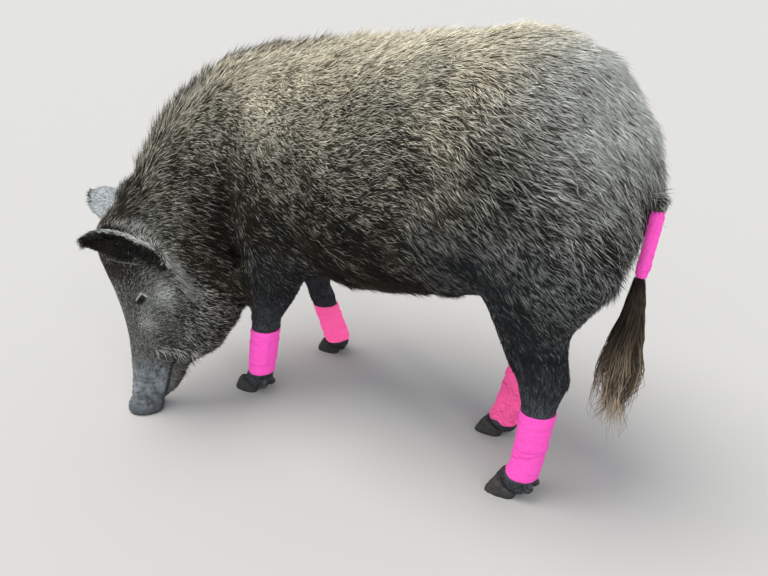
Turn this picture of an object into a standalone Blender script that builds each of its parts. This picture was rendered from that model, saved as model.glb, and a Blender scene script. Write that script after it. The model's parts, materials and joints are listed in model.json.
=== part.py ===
"""A still, life-size model of a wild-type pig that stands with its snout on the floor.

The head is turned to the pig's left. Its lower legs and the root of its tail wear stretch wraps.
Axes while modelling: +X is the pig's left, -Y its front, +Z up. At the end the whole model is
moved so that the middle of its bounding box stands over the origin. Units are metres.
"""
import math

import bmesh
import bpy
from mathutils import Matrix, Vector

GAP = 0.0004                 # clear space between neighbouring solids
WRAP_THICKNESS = 0.003       # stretch wrap, as wound
AROUND_BODY = 28             # points round the big sections
AROUND_LIMB = 12             # points round feet, wraps and tail
SPAN_STEPS = 3               # rings from one body section to the next
LIMB_STEPS = 2               # the same for legs and tail
VOXEL = 0.009                # grid that blends the flesh into one skin
BODY_TRIANGLES = 2850        # flesh, before it is parted

HEAD_TURN = math.radians(50)           # to the left of straight ahead
SNOUT = Vector((0.295, -0.445, 0.0))   # middle of the snout disc on the floor
SNOUT_HEIGHT = 0.022
FACING = Vector((math.sin(HEAD_TURN), -math.cos(HEAD_TURN), 0))   # the way the forehead faces
HEAD_LEFT = Vector((math.cos(HEAD_TURN), math.sin(HEAD_TURN), 0))
LEFT = Vector((1, 0, 0))
UP = Vector((0, 0, 1))

# Where the flesh is parted: a point on each cut, and how it is turned.
REACH = 2.4                  # bigger than the whole model
FOOT_SPACE = (0.17, 0.26, 0.3)
ELBOW_LEFT = Vector((0.100, -0.22, 0.352))
ELBOW_RIGHT = Vector((-0.110, -0.32, 0.352))
ELBOW_TILT = math.radians(30)
GROIN = (0.006, 0.0, 0.395)
HIP_TILT = math.radians(36)
POLL_SLOPE = math.radians(40.5)
MOUTH_SLOPE = math.radians(16)
JAW_RISE = 0.120             # how far the jaw's cut runs above the point on the mouth
SHOULDER = Vector((0, -0.30, 0))
SHOULDER_TURN = math.radians(24)

EYE_RADIUS = 0.0155
EYE_PLACE = (0.066, -0.034, 0.289)     # out to the side, along the facing, height
# Ears, in the same three directions: base and tip. The two are pricked a little differently.
EARS = {
    "ear_left": (1, (0.070, -0.082, 0.354), (0.140, 0.048, 0.441)),
    "ear_right": (-1, (0.070, -0.082, 0.354), (0.150, 0.066, 0.453)),
}
EAR_ROOT = 0.1               # share of the length that is sunk in the head
EAR_THICKNESS = 0.006
EAR_HALF_WIDTH = 0.043
EAR_OPENING = (0.62, 0.0, -0.75)       # the way its hollow faces
EAR_ROLL = (math.radians(118), math.radians(40))   # half its arc at base and tip

NOSTRIL_OUT = 0.0135
NOSTRIL_AHEAD = 0.008
NOSTRIL_BORE = ((-0.004, 0.0095), (0.012, 0.006))  # height, radius

# Trunk sections: distance along Y, height of back, height of belly, half width, squareness.
TRUNK = (
    (-0.33, 0.733, 0.370, 0.130, 2.0),
    (-0.24, 0.762, 0.308, 0.165, 2.0),
    (-0.08, 0.778, 0.288, 0.186, 2.1),
    (0.08, 0.794, 0.312, 0.200, 2.2),
    (0.20, 0.803, 0.343, 0.202, 2.3),
    (0.31, 0.800, 0.378, 0.193, 2.3),
    (0.39, 0.768, 0.412, 0.168, 2.2),
    (0.45, 0.698, 0.445, 0.128, 2.1),
    (0.495, 0.640, 0.500, 0.065, 2.0),
)

# Neck sections: crest point, throat point, half width, turn of the side from the left.
NECK = (
    ((0.0, -0.20, 0.765), (0.0, -0.20, 0.310), 0.165, 0),
    ((0.0, -0.32, 0.752), (0.01, -0.33, 0.325), 0.158, 12),
    ((0.043, -0.438, 0.702), (0.05, -0.345, 0.290), 0.142, 28),
    ((0.128, -0.512, 0.601), (0.10, -0.345, 0.245), 0.122, 42),
    ((0.208, -0.518, 0.508), (0.125, -0.330, 0.225), 0.105, 52),
    ((0.280, -0.490, 0.438), (0.150, -0.325, 0.240), 0.085, 52),
)

# Face sections: height, front, back (both along the facing), half width.
FACE = (
    (0.010, 0.036, -0.034, 0.038),
    (0.050, 0.029, -0.048, 0.036),
    (0.090, 0.022, -0.066, 0.041),
    (0.135, 0.018, -0.092, 0.049),
    (0.185, 0.017, -0.130, 0.061),
    (0.235, 0.020, -0.168, 0.077),
    (0.285, 0.028, -0.190, 0.089),
    (0.335, 0.040, -0.190, 0.095),
    (0.385, 0.050, -0.165, 0.090),
    (0.425, 0.040, -0.130, 0.072),
    (0.448, 0.010, -0.090, 0.045),
)

# Chin, jaw and jowl sections, given like those of the face.
JAW = (
    (0.020, -0.030, -0.050, 0.019),
    (0.045, -0.038, -0.076, 0.026),
    (0.075, -0.045, -0.094, 0.031),
    (0.105, -0.050, -0.102, 0.038),
    (0.132, -0.060, -0.150, 0.052),
    (0.162, -0.070, -0.186, 0.068),
    (0.205, -0.080, -0.212, 0.082),
    (0.250, -0.090, -0.228, 0.088),
    (0.300, -0.090, -0.220, 0.082),
    (0.340, -0.100, -0.190, 0.070),
)

# Leg sections from the body down: x, y, height, half depth, half width, rise of the front edge.
FORELEG_LEFT = (
    (0.085, -0.215, 0.560, 0.110, 0.080, 0.02),
    (0.095, -0.215, 0.430, 0.105, 0.078, 0.02),
    (0.102, -0.222, 0.330, 0.078, 0.060, 0.02),
    (0.105, -0.232, 0.270, 0.058, 0.048, 0.02),
    (0.105, -0.242, 0.215, 0.041, 0.036, 0.0),
    (0.104, -0.252, 0.175, 0.032, 0.031, 0.0),
    (0.101, -0.268, 0.115, 0.029, 0.028, 0.0),
    (0.098, -0.282, 0.062, 0.029, 0.029, 0.0),
    (0.096, -0.296, 0.034, 0.031, 0.031, 0.0),
    (0.095, -0.300, 0.014, 0.028, 0.026, 0.0),
)
FORELEG_RIGHT = (
    (-0.085, -0.300, 0.560, 0.105, 0.078, 0.02),
    (-0.100, -0.320, 0.430, 0.095, 0.072, 0.02),
    (-0.115, -0.325, 0.330, 0.072, 0.056, 0.0),
    (-0.125, -0.322, 0.260, 0.052, 0.044, 0.0),
    (-0.135, -0.312, 0.190, 0.038, 0.034, 0.0),
    (-0.142, -0.300, 0.145, 0.031, 0.030, 0.0),
    (-0.150, -0.284, 0.090, 0.028, 0.028, 0.0),
    (-0.155, -0.272, 0.050, 0.030, 0.030, 0.0),
    (-0.159, -0.274, 0.030, 0.031, 0.031, 0.0),
    (-0.160, -0.276, 0.014, 0.028, 0.026, 0.0),
)
HINDLEG_LEFT = (
    (0.088, 0.320, 0.640, 0.120, 0.088, 0.0),
    (0.098, 0.352, 0.540, 0.147, 0.088, 0.0),
    (0.102, 0.362, 0.460, 0.124, 0.080, 0.0),
    (0.100, 0.360, 0.400, 0.096, 0.066, 0.0),
    (0.096, 0.356, 0.345, 0.067, 0.050, 0.0),
    (0.093, 0.366, 0.295, 0.055, 0.042, 0.0),
    (0.090, 0.376, 0.250, 0.047, 0.037, 0.0),
    (0.088, 0.378, 0.205, 0.032, 0.030, 0.0),
    (0.085, 0.370, 0.130, 0.027, 0.027, 0.0),
    (0.082, 0.360, 0.068, 0.028, 0.028, 0.0),
    (0.081, 0.348, 0.038, 0.031, 0.031, 0.0),
    (0.080, 0.344, 0.014, 0.028, 0.026, 0.0),
)
HINDLEG_RIGHT = (
    (-0.088, 0.310, 0.640, 0.120, 0.088, 0.0),
    (-0.098, 0.318, 0.540, 0.145, 0.088, 0.0),
    (-0.100, 0.302, 0.460, 0.122, 0.080, 0.0),
    (-0.098, 0.284, 0.400, 0.095, 0.066, 0.0),
    (-0.094, 0.272, 0.345, 0.067, 0.050, 0.0),
    (-0.090, 0.276, 0.295, 0.055, 0.042, 0.0),
    (-0.087, 0.280, 0.250, 0.047, 0.037, 0.0),
    (-0.084, 0.276, 0.205, 0.032, 0.030, 0.0),
    (-0.082, 0.262, 0.130, 0.027, 0.027, 0.0),
    (-0.080, 0.249, 0.068, 0.029, 0.028, 0.0),
    (-0.080, 0.240, 0.038, 0.033, 0.031, 0.0),
    (-0.080, 0.235, 0.014, 0.029, 0.026, 0.0),
)

# Each leg: sections, height where the foot starts, top and bottom of its wrap, middle of the toes.
LEGS = {
    "foreleg_left": (FORELEG_LEFT, 0.188, 0.176, 0.058, (0.095, -0.318)),
    "foreleg_right": (FORELEG_RIGHT, 0.166, 0.154, 0.037, (-0.160, -0.287)),
    "hindleg_left": (HINDLEG_LEFT, 0.206, 0.194, 0.050, (0.080, 0.326)),
    "hindleg_right": (HINDLEG_RIGHT, 0.206, 0.194, 0.037, (-0.080, 0.217)),
}

# Tail sections: y, height, half depth, half width.
TAIL = (
    (0.470, 0.610, 0.024, 0.024),
    (0.490, 0.585, 0.019, 0.019),
    (0.499, 0.560, 0.0115, 0.0115),
    (0.495, 0.500, 0.0105, 0.0105),
    (0.487, 0.428, 0.0110, 0.0110),
)
TAIL_START = 0.572
TAIL_WRAP = (0.563, 0.436)
SWITCH = (
    (0.4868, 0.4275, 0.0110, 0.0110),
    (0.485, 0.390, 0.0175, 0.015),
    (0.480, 0.330, 0.030, 0.022),
    (0.472, 0.265, 0.040, 0.027),
    (0.464, 0.215, 0.036, 0.024),
    (0.455, 0.175, 0.018, 0.013),
)

HOOF_SPREAD = math.radians(6)
HOOF_OUT = 0.0162            # from the middle of the foot to the middle of a claw
# Hoof sections: toe, heel, their heights, half width.
HOOF = (
    (-0.034, 0.024, 0.0, 0.0, 0.0125),
    (-0.032, 0.027, 0.008, 0.006, 0.0140),
    (-0.022, 0.028, 0.026, 0.016, 0.0142),
    (-0.010, 0.026, 0.044, 0.026, 0.0120),
)
HOOF_SPACE = (0.15, 0.20, 0.10)
CORONET = 0.029              # height of the slanted join of hoof and foot, under the leg's middle
CORONET_SLOPE = math.radians(26)
DEWCLAW = ((0.004, 0.015), (0.010, 0.009), (0.0088, -0.001), (0.0075, -0.008))   # radius, drop
DEWCLAW_OUT = 0.017
DEWCLAW_FEET = ("foreleg_left", "hindleg_left")   # the wraps hide those of the other two

COLOURS = {
    "coat": ((0.085, 0.068, 0.055), 0.85),
    "snout": ((0.11, 0.105, 0.115), 0.55),
    "eye": ((0.012, 0.008, 0.006), 0.08),
    "horn": ((0.03, 0.026, 0.024), 0.55),
    "wrap": ((0.90, 0.06, 0.42), 0.75),
    "switch": ((0.05, 0.04, 0.033), 0.8),
}


def material(name):
    """The shared Principled material of that name, made on first use."""
    found = bpy.data.materials.get(name)
    if found:
        return found
    made = bpy.data.materials.new(name)
    made.use_nodes = True
    colour, roughness = COLOURS[name]
    made.diffuse_color = (*colour, 1)
    shader = made.node_tree.nodes["Principled BSDF"]
    shader.inputs["Base Color"].default_value = (*colour, 1)
    shader.inputs["Roughness"].default_value = roughness
    return made


def add_mesh(name, rings, coat="coat"):
    """A closed mesh object lofted through rings of points, with a flat face on each end."""
    mesh = bpy.data.meshes.new(name)
    count = len(rings[0])
    points = [point for ring in rings for point in ring]
    faces = [tuple(reversed(range(count)))]
    for level in range(len(rings) - 1):
        for k in range(count):
            near, far = level * count + k, level * count + (k + 1) % count
            faces.append((near, far, far + count, near + count))
    faces.append(tuple(range(len(points) - count, len(points))))
    mesh.from_pydata(points, [], faces)
    shell = bmesh.new()
    shell.from_mesh(mesh)
    bmesh.ops.recalc_face_normals(shell, faces=shell.faces)
    shell.to_mesh(mesh)
    shell.free()
    mesh.materials.append(material(coat))
    made = bpy.data.objects.new(name, mesh)
    PARTS.objects.link(made)
    return made


def as_cutter(item):
    """Keep the object out of the model: it only shapes others."""
    PARTS.objects.unlink(item)
    CUTTERS.objects.link(item)
    item.hide_render = True
    item.display_type = "WIRE"
    return item


def smooth_rows(rows, steps):
    """The rows with evenly spaced ones between them, on a curve through each row."""
    filled = []
    for k in range(len(rows) - 1):
        before, here = rows[max(k - 1, 0)], rows[k]
        there, after = rows[k + 1], rows[min(k + 2, len(rows) - 1)]
        for step in range(steps):
            t = step / steps
            filled.append([
                b + 0.5 * t * (c - a + t * (2 * a - 5 * b + 4 * c - d + t * (3 * b - a - 3 * c + d)))
                for a, b, c, d in zip(before, here, there, after)])
    filled.append(list(rows[-1]))
    return filled


def ring(front, back, side, half_width, squareness, around, grow=0.0):
    """Points of a rounded section that spans front to back and half_width to each side."""
    middle = (front + back) / 2
    reach = (front - back) / 2
    along = reach.normalized()
    points = []
    for k in range(around):
        angle = 2 * math.pi * k / around
        rise = math.copysign(abs(math.sin(angle)) ** (2 / squareness), math.sin(angle))
        wide = math.copysign(abs(math.cos(angle)) ** (2 / squareness), math.cos(angle))
        points.append(middle + along * rise * (reach.length + grow) + side * wide * (half_width + grow))
    return points


def head_point(out, ahead, height):
    """A place given in the head's own directions from the middle of the snout disc."""
    return SNOUT + HEAD_LEFT * out + FACING * ahead + UP * height


POLL = head_point(0, -0.020, 0.470)
MOUTH = head_point(0, -0.055, 0.070)


def trunk_rings():
    return [ring(Vector((0, y, top)), Vector((0, y, low)), LEFT, half, square, AROUND_BODY)
            for y, top, low, half, square in smooth_rows(TRUNK, SPAN_STEPS)]


def neck_rings():
    rows = [(*crest, *throat, half, turn) for crest, throat, half, turn in NECK]
    rings = []
    for row in smooth_rows(rows, SPAN_STEPS):
        turn = math.radians(row[7])
        side = Vector((math.cos(turn), math.sin(turn), 0))
        rings.append(ring(Vector(row[:3]), Vector(row[3:6]), side, row[6], 2.1, AROUND_BODY))
    return rings


def head_rings(rows, squareness):
    return [ring(head_point(0, front, z), head_point(0, back, z), HEAD_LEFT, half, squareness,
                 AROUND_BODY) for z, front, back, half in smooth_rows(rows, SPAN_STEPS)]


def leg_rings(rows, around, grow=0.0):
    rings = []
    for x, y, z, depth, half, rise in smooth_rows(rows, LIMB_STEPS):
        front = Vector((x, y - depth, z + rise))
        back = Vector((x, y + depth, z - rise))
        rings.append(ring(front, back, LEFT, half, 2.1, around, grow))
    return rings


def tail_rings(rows, grow=0.0):
    return [ring(Vector((0, y - depth, z)), Vector((0, y + depth, z)), LEFT, half, 2, AROUND_LIMB, grow)
            for y, z, depth, half in smooth_rows(rows, LIMB_STEPS)]


def apply_modifiers(item):
    """Replace the object's mesh with its evaluated one."""
    graph = bpy.context.evaluated_depsgraph_get()
    mesh = bpy.data.meshes.new_from_object(item.evaluated_get(graph))
    item.modifiers.clear()
    item.data = mesh


def boolean(item, tool, operation):
    cut = item.modifiers.new("cut", "BOOLEAN")
    cut.operation = operation
    cut.solver = "EXACT"
    cut.object = tool
    apply_modifiers(item)


def copy_of(item, name):
    made = item.copy()
    made.data = item.data.copy()
    made.name = name
    PARTS.objects.link(made)
    return made


def box(size, place, grow=0.0):
    """A cutter box of the given size at the given matrix."""
    shell = bmesh.new()
    bmesh.ops.create_cube(shell, size=1)
    sized = [edge + 2 * grow for edge in size]
    bmesh.ops.transform(shell, matrix=place @ Matrix.Diagonal((*sized, 1)), verts=shell.verts)
    mesh = bpy.data.meshes.new("cutter")
    shell.to_mesh(mesh)
    shell.free()
    made = bpy.data.objects.new("cutter", mesh)
    PARTS.objects.link(made)
    return as_cutter(made)


def keep_largest(item):
    """Remove loose scraps that a cut leaves."""
    shell = bmesh.new()
    shell.from_mesh(item.data)
    unseen, islands = set(shell.verts), []
    while unseen:
        stack, island = [unseen.pop()], set()
        while stack:
            vert = stack.pop()
            island.add(vert)
            for edge in vert.link_edges:
                other = edge.other_vert(vert)
                if other in unseen:
                    unseen.discard(other)
                    stack.append(other)
        islands.append(island)
    islands.sort(key=len)
    scraps = [vert for island in islands[:-1] for vert in island]
    bmesh.ops.delete(shell, geom=scraps, context="VERTS")
    shell.to_mesh(item.data)
    shell.free()


def carve(body, name, *blocks):
    """Take the part of the body inside every one of the blocks into a node of its own."""
    piece = copy_of(body, name)
    for size, place in blocks:
        boolean(piece, box(size, place), "INTERSECT")
    rest = box(*blocks[0], GAP)
    for size, place in blocks[1:]:
        boolean(rest, box(size, place, GAP), "INTERSECT")
    boolean(body, rest, "DIFFERENCE")
    keep_largest(piece)
    keep_largest(body)
    return piece


def grown_copy(item, amount):
    """A cutter shaped like the item, its surface moved out by the amount."""
    made = copy_of(item, "grown")
    push = made.modifiers.new("grow", "DISPLACE")
    push.mid_level = 0
    push.strength = amount
    apply_modifiers(made)
    return as_cutter(made)


def blend(items, name):
    """One smooth closed skin round all the lofts."""
    bpy.ops.object.select_all(action="DESELECT")
    for item in items:
        item.select_set(True)
    bpy.context.view_layer.objects.active = items[0]
    bpy.ops.object.join()
    body = items[0]
    body.name = name
    remesh = body.modifiers.new("blend", "REMESH")
    remesh.mode = "VOXEL"
    remesh.voxel_size = VOXEL
    relax = body.modifiers.new("relax", "SMOOTH")
    relax.factor = 0.5
    relax.iterations = 7
    apply_modifiers(body)
    body.data.materials.clear()
    body.data.materials.append(material("coat"))
    thin = body.modifiers.new("thin", "DECIMATE")
    thin.ratio = BODY_TRIANGLES / (2 * len(body.data.polygons))
    apply_modifiers(body)
    return body


def flesh():
    """Trunk, neck, head and upper legs as one skin."""
    lofts = [add_mesh("trunk", trunk_rings()), add_mesh("neck", neck_rings())]
    lofts.append(add_mesh("face", head_rings(FACE, 2.3)))
    lofts.append(add_mesh("jaw", head_rings(JAW, 2.2)))
    lofts.append(add_mesh("tail_root", tail_rings(TAIL)))
    lofts += [add_mesh(name, leg_rings(leg[0], AROUND_BODY)) for name, leg in LEGS.items()]
    return blend(lofts, "body")


def slab(x, y, top):
    """A cutter box round a foot, from well under the floor up to a height."""
    return box(FOOT_SPACE, Matrix.Translation((x, y, top - FOOT_SPACE[2] / 2)))


def cut_for_feet(body):
    """Remove what the separate feet, snout and tail fill."""
    for _, start, _, _, toes in LEGS.values():
        boolean(body, slab(toes[0], toes[1], start), "DIFFERENCE")
    boolean(body, slab(SNOUT.x, SNOUT.y, SNOUT_HEIGHT), "DIFFERENCE")
    size = (0.06, 0.17, 0.3)
    boolean(body, box(size, Matrix.Translation((0, 0.55, TAIL_START - size[2] / 2))), "DIFFERENCE")
    keep_largest(body)


def below(point, turn):
    """A big block under a plane through the point, turned with the matrix."""
    return (REACH, REACH, REACH), Matrix.Translation(point) @ turn @ Matrix.Translation((0, 0, -REACH / 2))


def beside(point, turn, side):
    """A big block on one side (+1 or -1 along the turned X) of a plane through the point."""
    return (REACH, REACH, REACH), Matrix.Translation(point) @ turn @ Matrix.Translation((side * REACH / 2, 0, 0))


def before(point, turn):
    """A big block in front (along the turned -Y) of a plane through the point."""
    return (REACH, REACH, REACH), Matrix.Translation(point) @ turn @ Matrix.Translation((0, -REACH / 2, 0))


def part_flesh(body):
    """Part the body at the elbows, hips, poll, mouth and shoulder. The head is returned."""
    straight = Matrix.Identity(4)
    headwise = Matrix.Rotation(HEAD_TURN, 4, "Z")
    for name, side, elbow, size, heart in (
            ("foreleg_left", 1, ELBOW_LEFT, (0.19, 0.13, 0.60), head_point(0.050, -0.303, 0.30)),
            ("foreleg_right", -1, ELBOW_RIGHT, (0.19, 0.23, 0.60), Vector((-0.120, -0.325, 0.30)))):
        turn = headwise if side > 0 else straight
        slope = Matrix.Rotation(-side * ELBOW_TILT, 4, "Y")
        carve(body, name, (size, Matrix.Translation(heart) @ turn), below(elbow, slope))
    for name, side, back in (("hindleg_left", 1, 0.17), ("hindleg_right", -1, 0.13)):
        groin = Vector((side * GROIN[0], GROIN[1], GROIN[2]))
        slope = Matrix.Rotation(-side * HIP_TILT, 4, "Y")
        stifle = before(Vector((0, back, 0)), Matrix.Rotation(math.pi, 4, "Z"))
        carve(body, name, beside(groin, straight, side), below(groin, slope), stifle)
    head = carve(body, "head", before(POLL, headwise @ Matrix.Rotation(POLL_SLOPE, 4, "X")))
    mouthwise = headwise @ Matrix.Rotation(-MOUTH_SLOPE, 4, "X")
    lips = Matrix.Translation(MOUTH) @ mouthwise @ Matrix.Translation((0, REACH / 2, -REACH / 2 + JAW_RISE))
    carve(head, "lower_jaw", ((REACH, REACH, REACH), lips))
    carve(body, "neck", before(SHOULDER, Matrix.Rotation(SHOULDER_TURN, 4, "Z")))
    body.name = "trunk"
    return head


def snout():
    """The disc at the end of the muzzle, flat on the floor, with two nostrils."""
    rows = ((0.0, 0.0345, 0.036), (0.005, 0.0375, 0.0395), (0.013, 0.0375, 0.0395),
            (SNOUT_HEIGHT - GAP, 0.0345, 0.0365))
    rings = [ring(head_point(0, depth, z), head_point(0, -depth, z), HEAD_LEFT, half, 2.2, 20)
             for z, depth, half in rows]
    disc = add_mesh("snout", rings, "snout")
    for side in (-1, 1):
        rings = []
        for z, size in NOSTRIL_BORE:
            front = head_point(side * NOSTRIL_OUT, NOSTRIL_AHEAD + size, z)
            back = head_point(side * NOSTRIL_OUT, NOSTRIL_AHEAD - size, z)
            rings.append(ring(front, back, HEAD_LEFT, size * 0.75, 2, 10))
        boolean(disc, as_cutter(add_mesh("nostril", rings)), "DIFFERENCE")


def ball(name, radius, place):
    shell = bmesh.new()
    bmesh.ops.create_uvsphere(shell, u_segments=12, v_segments=7, radius=radius, matrix=place)
    mesh = bpy.data.meshes.new(name)
    shell.to_mesh(mesh)
    shell.free()
    mesh.materials.append(material("eye"))
    made = bpy.data.objects.new(name, mesh)
    PARTS.objects.link(made)
    return made


def eyes(head):
    out, ahead, height = EYE_PLACE
    for name, side in (("eye_left", 1), ("eye_right", -1)):
        place = Matrix.Translation(head_point(side * out, ahead, height))
        boolean(head, as_cutter(ball("socket", EYE_RADIUS + GAP, place)), "DIFFERENCE")
        ball(name, EYE_RADIUS, place)
    keep_largest(head)


def ear(name, head):
    """A leaf rolled into a tube at its base and open at its tip, thickened and trimmed to the head."""
    side, base, tip = EARS[name]
    base = head_point(side * base[0], *base[1:])
    tip = head_point(side * tip[0], *tip[1:])
    along = (tip - base).normalized()
    opening = HEAD_LEFT * side * EAR_OPENING[0] + FACING * EAR_OPENING[1] + UP * EAR_OPENING[2]
    opening = (opening - along * opening.dot(along)).normalized()
    across = along.cross(opening)
    rows, columns = 11, 9
    points, faces = [], []
    for row in range(rows):
        s = row / (rows - 1)
        half_arc = EAR_HALF_WIDTH * (0.70 + 1.05 * s) * (1 - s ** 2.6) ** 0.62 + EAR_THICKNESS / 2
        roll = EAR_ROLL[0] + (EAR_ROLL[1] - EAR_ROLL[0]) * s ** 0.75
        radius = half_arc / roll
        middle = base + (tip - base) * (s - EAR_ROOT * (1 - s)) - opening * 0.012 * math.sin(math.pi * s)
        for column in range(columns):
            angle = roll * (2 * column / (columns - 1) - 1)
            points.append(middle + radius * (across * math.sin(angle) + opening * (0.6 - math.cos(angle))))
    for row in range(rows - 1):
        for column in range(columns - 1):
            near = row * columns + column
            faces.append((near, near + 1, near + 1 + columns, near + columns))
    mesh = bpy.data.meshes.new(name)
    mesh.from_pydata(points, [], faces)
    mesh.materials.append(material("coat"))
    made = bpy.data.objects.new(name, mesh)
    PARTS.objects.link(made)
    thick = made.modifiers.new("thick", "SOLIDIFY")
    thick.thickness = EAR_THICKNESS
    thick.offset = 0
    apply_modifiers(made)
    boolean(made, grown_copy(head, GAP), "DIFFERENCE")
    keep_largest(made)


def foot(name):
    """The lower leg inside and below its wrap, its two hooves, its dewclaws and its wrap."""
    rows, start, wrap_top, wrap_low, toes = LEGS[name]
    low_rows = [row for row in rows if row[2] < start + 0.07]
    label = name.replace("leg", "foot")
    paw = add_mesh(label, leg_rings(low_rows, AROUND_LIMB))
    boolean(paw, slab(*toes, start - GAP), "INTERSECT")
    coronet = Matrix.Translation((*toes, CORONET)) @ Matrix.Rotation(-CORONET_SLOPE, 4, "X")
    boolean(paw, box(HOOF_SPACE, coronet @ Matrix.Translation((0, 0, -HOOF_SPACE[2] / 2))), "DIFFERENCE")
    keep_largest(paw)
    above = coronet @ Matrix.Translation((0, 0, HOOF_SPACE[2] / 2 - GAP))
    for side, where in ((1, "left"), (-1, "right")):
        turn = Matrix.Translation((toes[0] + side * HOOF_OUT, toes[1], 0))
        turn = turn @ Matrix.Rotation(side * HOOF_SPREAD, 4, "Z")
        rings = [ring(turn @ Vector((0, toe, high)), turn @ Vector((0, heel, low)), LEFT, half, 2.4, 10)
                 for toe, heel, high, low, half in HOOF]
        hoof = add_mesh(f"hoof_{label}_{where}", rings, "horn")
        boolean(hoof, box(HOOF_SPACE, above), "DIFFERENCE")
    wind(f"wrap_{name}", leg_rings(low_rows, AROUND_LIMB, GAP + WRAP_THICKNESS),
         leg_rings(low_rows, AROUND_LIMB, GAP), slab(*toes, wrap_top), slab(*toes, wrap_low))
    if name in DEWCLAW_FEET:
        dewclaws(label, paw, rows)


def wind(name, outside, inside, up_to, down_to):
    """A wrap: a sleeve between two lofts, from one height to another."""
    sleeve = add_mesh(name, outside, "wrap")
    boolean(sleeve, up_to, "INTERSECT")
    boolean(sleeve, down_to, "DIFFERENCE")
    boolean(sleeve, as_cutter(add_mesh("core", inside)), "DIFFERENCE")


def dewclaws(label, paw, rows):
    """Two small claws behind the foot, pointing down and back."""
    x, y, z, depth = rows[-2][:4]
    for side, where in ((1, "left"), (-1, "right")):
        rings = []
        for radius, drop in DEWCLAW:
            heart = Vector((x + side * DEWCLAW_OUT, y + depth + 0.005 - drop * 0.6, z - drop - 0.003))
            front, back = heart - Vector((0, radius, 0)), heart + Vector((0, radius, 0))
            rings.append(ring(front, back, LEFT, radius, 2, 6))
        claw = add_mesh(f"dewclaw_{label}_{where}", rings, "horn")
        boolean(claw, grown_copy(paw, GAP), "DIFFERENCE")
        keep_largest(claw)


def tail():
    """The tail below its root, its wrap, and the long hair of its end as one tapered body."""
    start = (0, TAIL[2][0])
    stem = add_mesh("tail", tail_rings(TAIL))
    boolean(stem, slab(*start, TAIL_START - GAP), "INTERSECT")
    keep_largest(stem)
    wind("wrap_tail", tail_rings(TAIL, GAP + WRAP_THICKNESS), tail_rings(TAIL, GAP),
         slab(*start, TAIL_WRAP[0]), slab(*start, TAIL_WRAP[1]))
    add_mesh("tail_switch", tail_rings(SWITCH), "switch")


def centre_on_origin():
    """Move every node so that the model's bounding box stands centred over the origin."""
    corners = [item.matrix_world @ vert.co for item in PARTS.objects for vert in item.data.vertices]
    low = Vector([min(point[axis] for point in corners) for axis in range(3)])
    high = Vector([max(point[axis] for point in corners) for axis in range(3)])
    shift = Matrix.Translation((-(low.x + high.x) / 2, -(low.y + high.y) / 2, -low.z))
    for item in PARTS.objects:
        item.data.transform(shift)


def main():
    for item in list(bpy.data.objects):
        bpy.data.objects.remove(item)
    body = flesh()
    cut_for_feet(body)
    head = part_flesh(body)
    snout()
    for name in EARS:
        ear(name, head)
    eyes(head)
    for name in LEGS:
        foot(name)
    tail()
    centre_on_origin()


PARTS = bpy.data.collections.new("pig")
CUTTERS = bpy.data.collections.new("cutters")
bpy.context.scene.collection.children.link(PARTS)
bpy.context.scene.collection.children.link(CUTTERS)
main()
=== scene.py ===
"""A dark pig with grizzled bristles, its snout to the ground, in pink wraps on legs and tail."""
import json
import math
from collections import namedtuple

import bpy
import numpy as np
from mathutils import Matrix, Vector
from mathutils.bvhtree import BVHTree

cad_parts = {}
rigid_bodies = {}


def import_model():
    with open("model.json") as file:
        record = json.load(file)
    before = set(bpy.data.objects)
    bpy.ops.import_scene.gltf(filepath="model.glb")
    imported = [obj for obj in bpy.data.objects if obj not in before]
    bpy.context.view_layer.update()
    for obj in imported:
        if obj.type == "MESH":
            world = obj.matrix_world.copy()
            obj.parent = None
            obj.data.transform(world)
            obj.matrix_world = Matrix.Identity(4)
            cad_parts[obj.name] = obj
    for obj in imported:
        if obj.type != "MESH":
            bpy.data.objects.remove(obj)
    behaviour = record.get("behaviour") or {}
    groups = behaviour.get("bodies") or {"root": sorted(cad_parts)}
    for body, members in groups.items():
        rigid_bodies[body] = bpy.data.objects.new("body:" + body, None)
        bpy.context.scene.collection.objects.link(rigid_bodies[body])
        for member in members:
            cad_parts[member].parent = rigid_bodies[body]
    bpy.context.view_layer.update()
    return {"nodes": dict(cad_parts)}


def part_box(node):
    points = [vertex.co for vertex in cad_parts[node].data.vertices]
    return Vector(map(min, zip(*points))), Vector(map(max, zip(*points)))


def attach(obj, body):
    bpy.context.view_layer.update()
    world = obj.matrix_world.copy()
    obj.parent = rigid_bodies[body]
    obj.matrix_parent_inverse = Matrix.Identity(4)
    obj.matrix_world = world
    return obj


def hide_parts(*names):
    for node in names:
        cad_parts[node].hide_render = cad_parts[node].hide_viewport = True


for leftover in list(bpy.data.objects):
    bpy.data.objects.remove(leftover)
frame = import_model()


# ---------------------------------------------------------------- sizes and places

def middle(node):
    """The middle of a node's box."""
    low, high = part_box(node)
    return np.array((low + high) / 2)


def box_of(node):
    """The low and the high corner of a node's box."""
    return tuple(np.array(corner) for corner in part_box(node))


def unit(vectors):
    """Vectors made one long."""
    size = np.linalg.norm(vectors, axis=-1, keepdims=True)
    return vectors / np.maximum(size, 1e-9)


UP = np.array((0.0, 0.0, 1.0))
TURN = math.radians(50)                     # how far the head is turned to the pig's left
AHEAD = np.array((math.sin(TURN), -math.cos(TURN), 0.0))
LEFT = np.array((math.cos(TURN), math.sin(TURN), 0.0))
SNOUT = middle("snout") * (1, 1, 0)         # the floor under the snout
SHIFT = SNOUT - (0.295, -0.445, 0.0)        # from the trunk's own middle line to the frame

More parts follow.
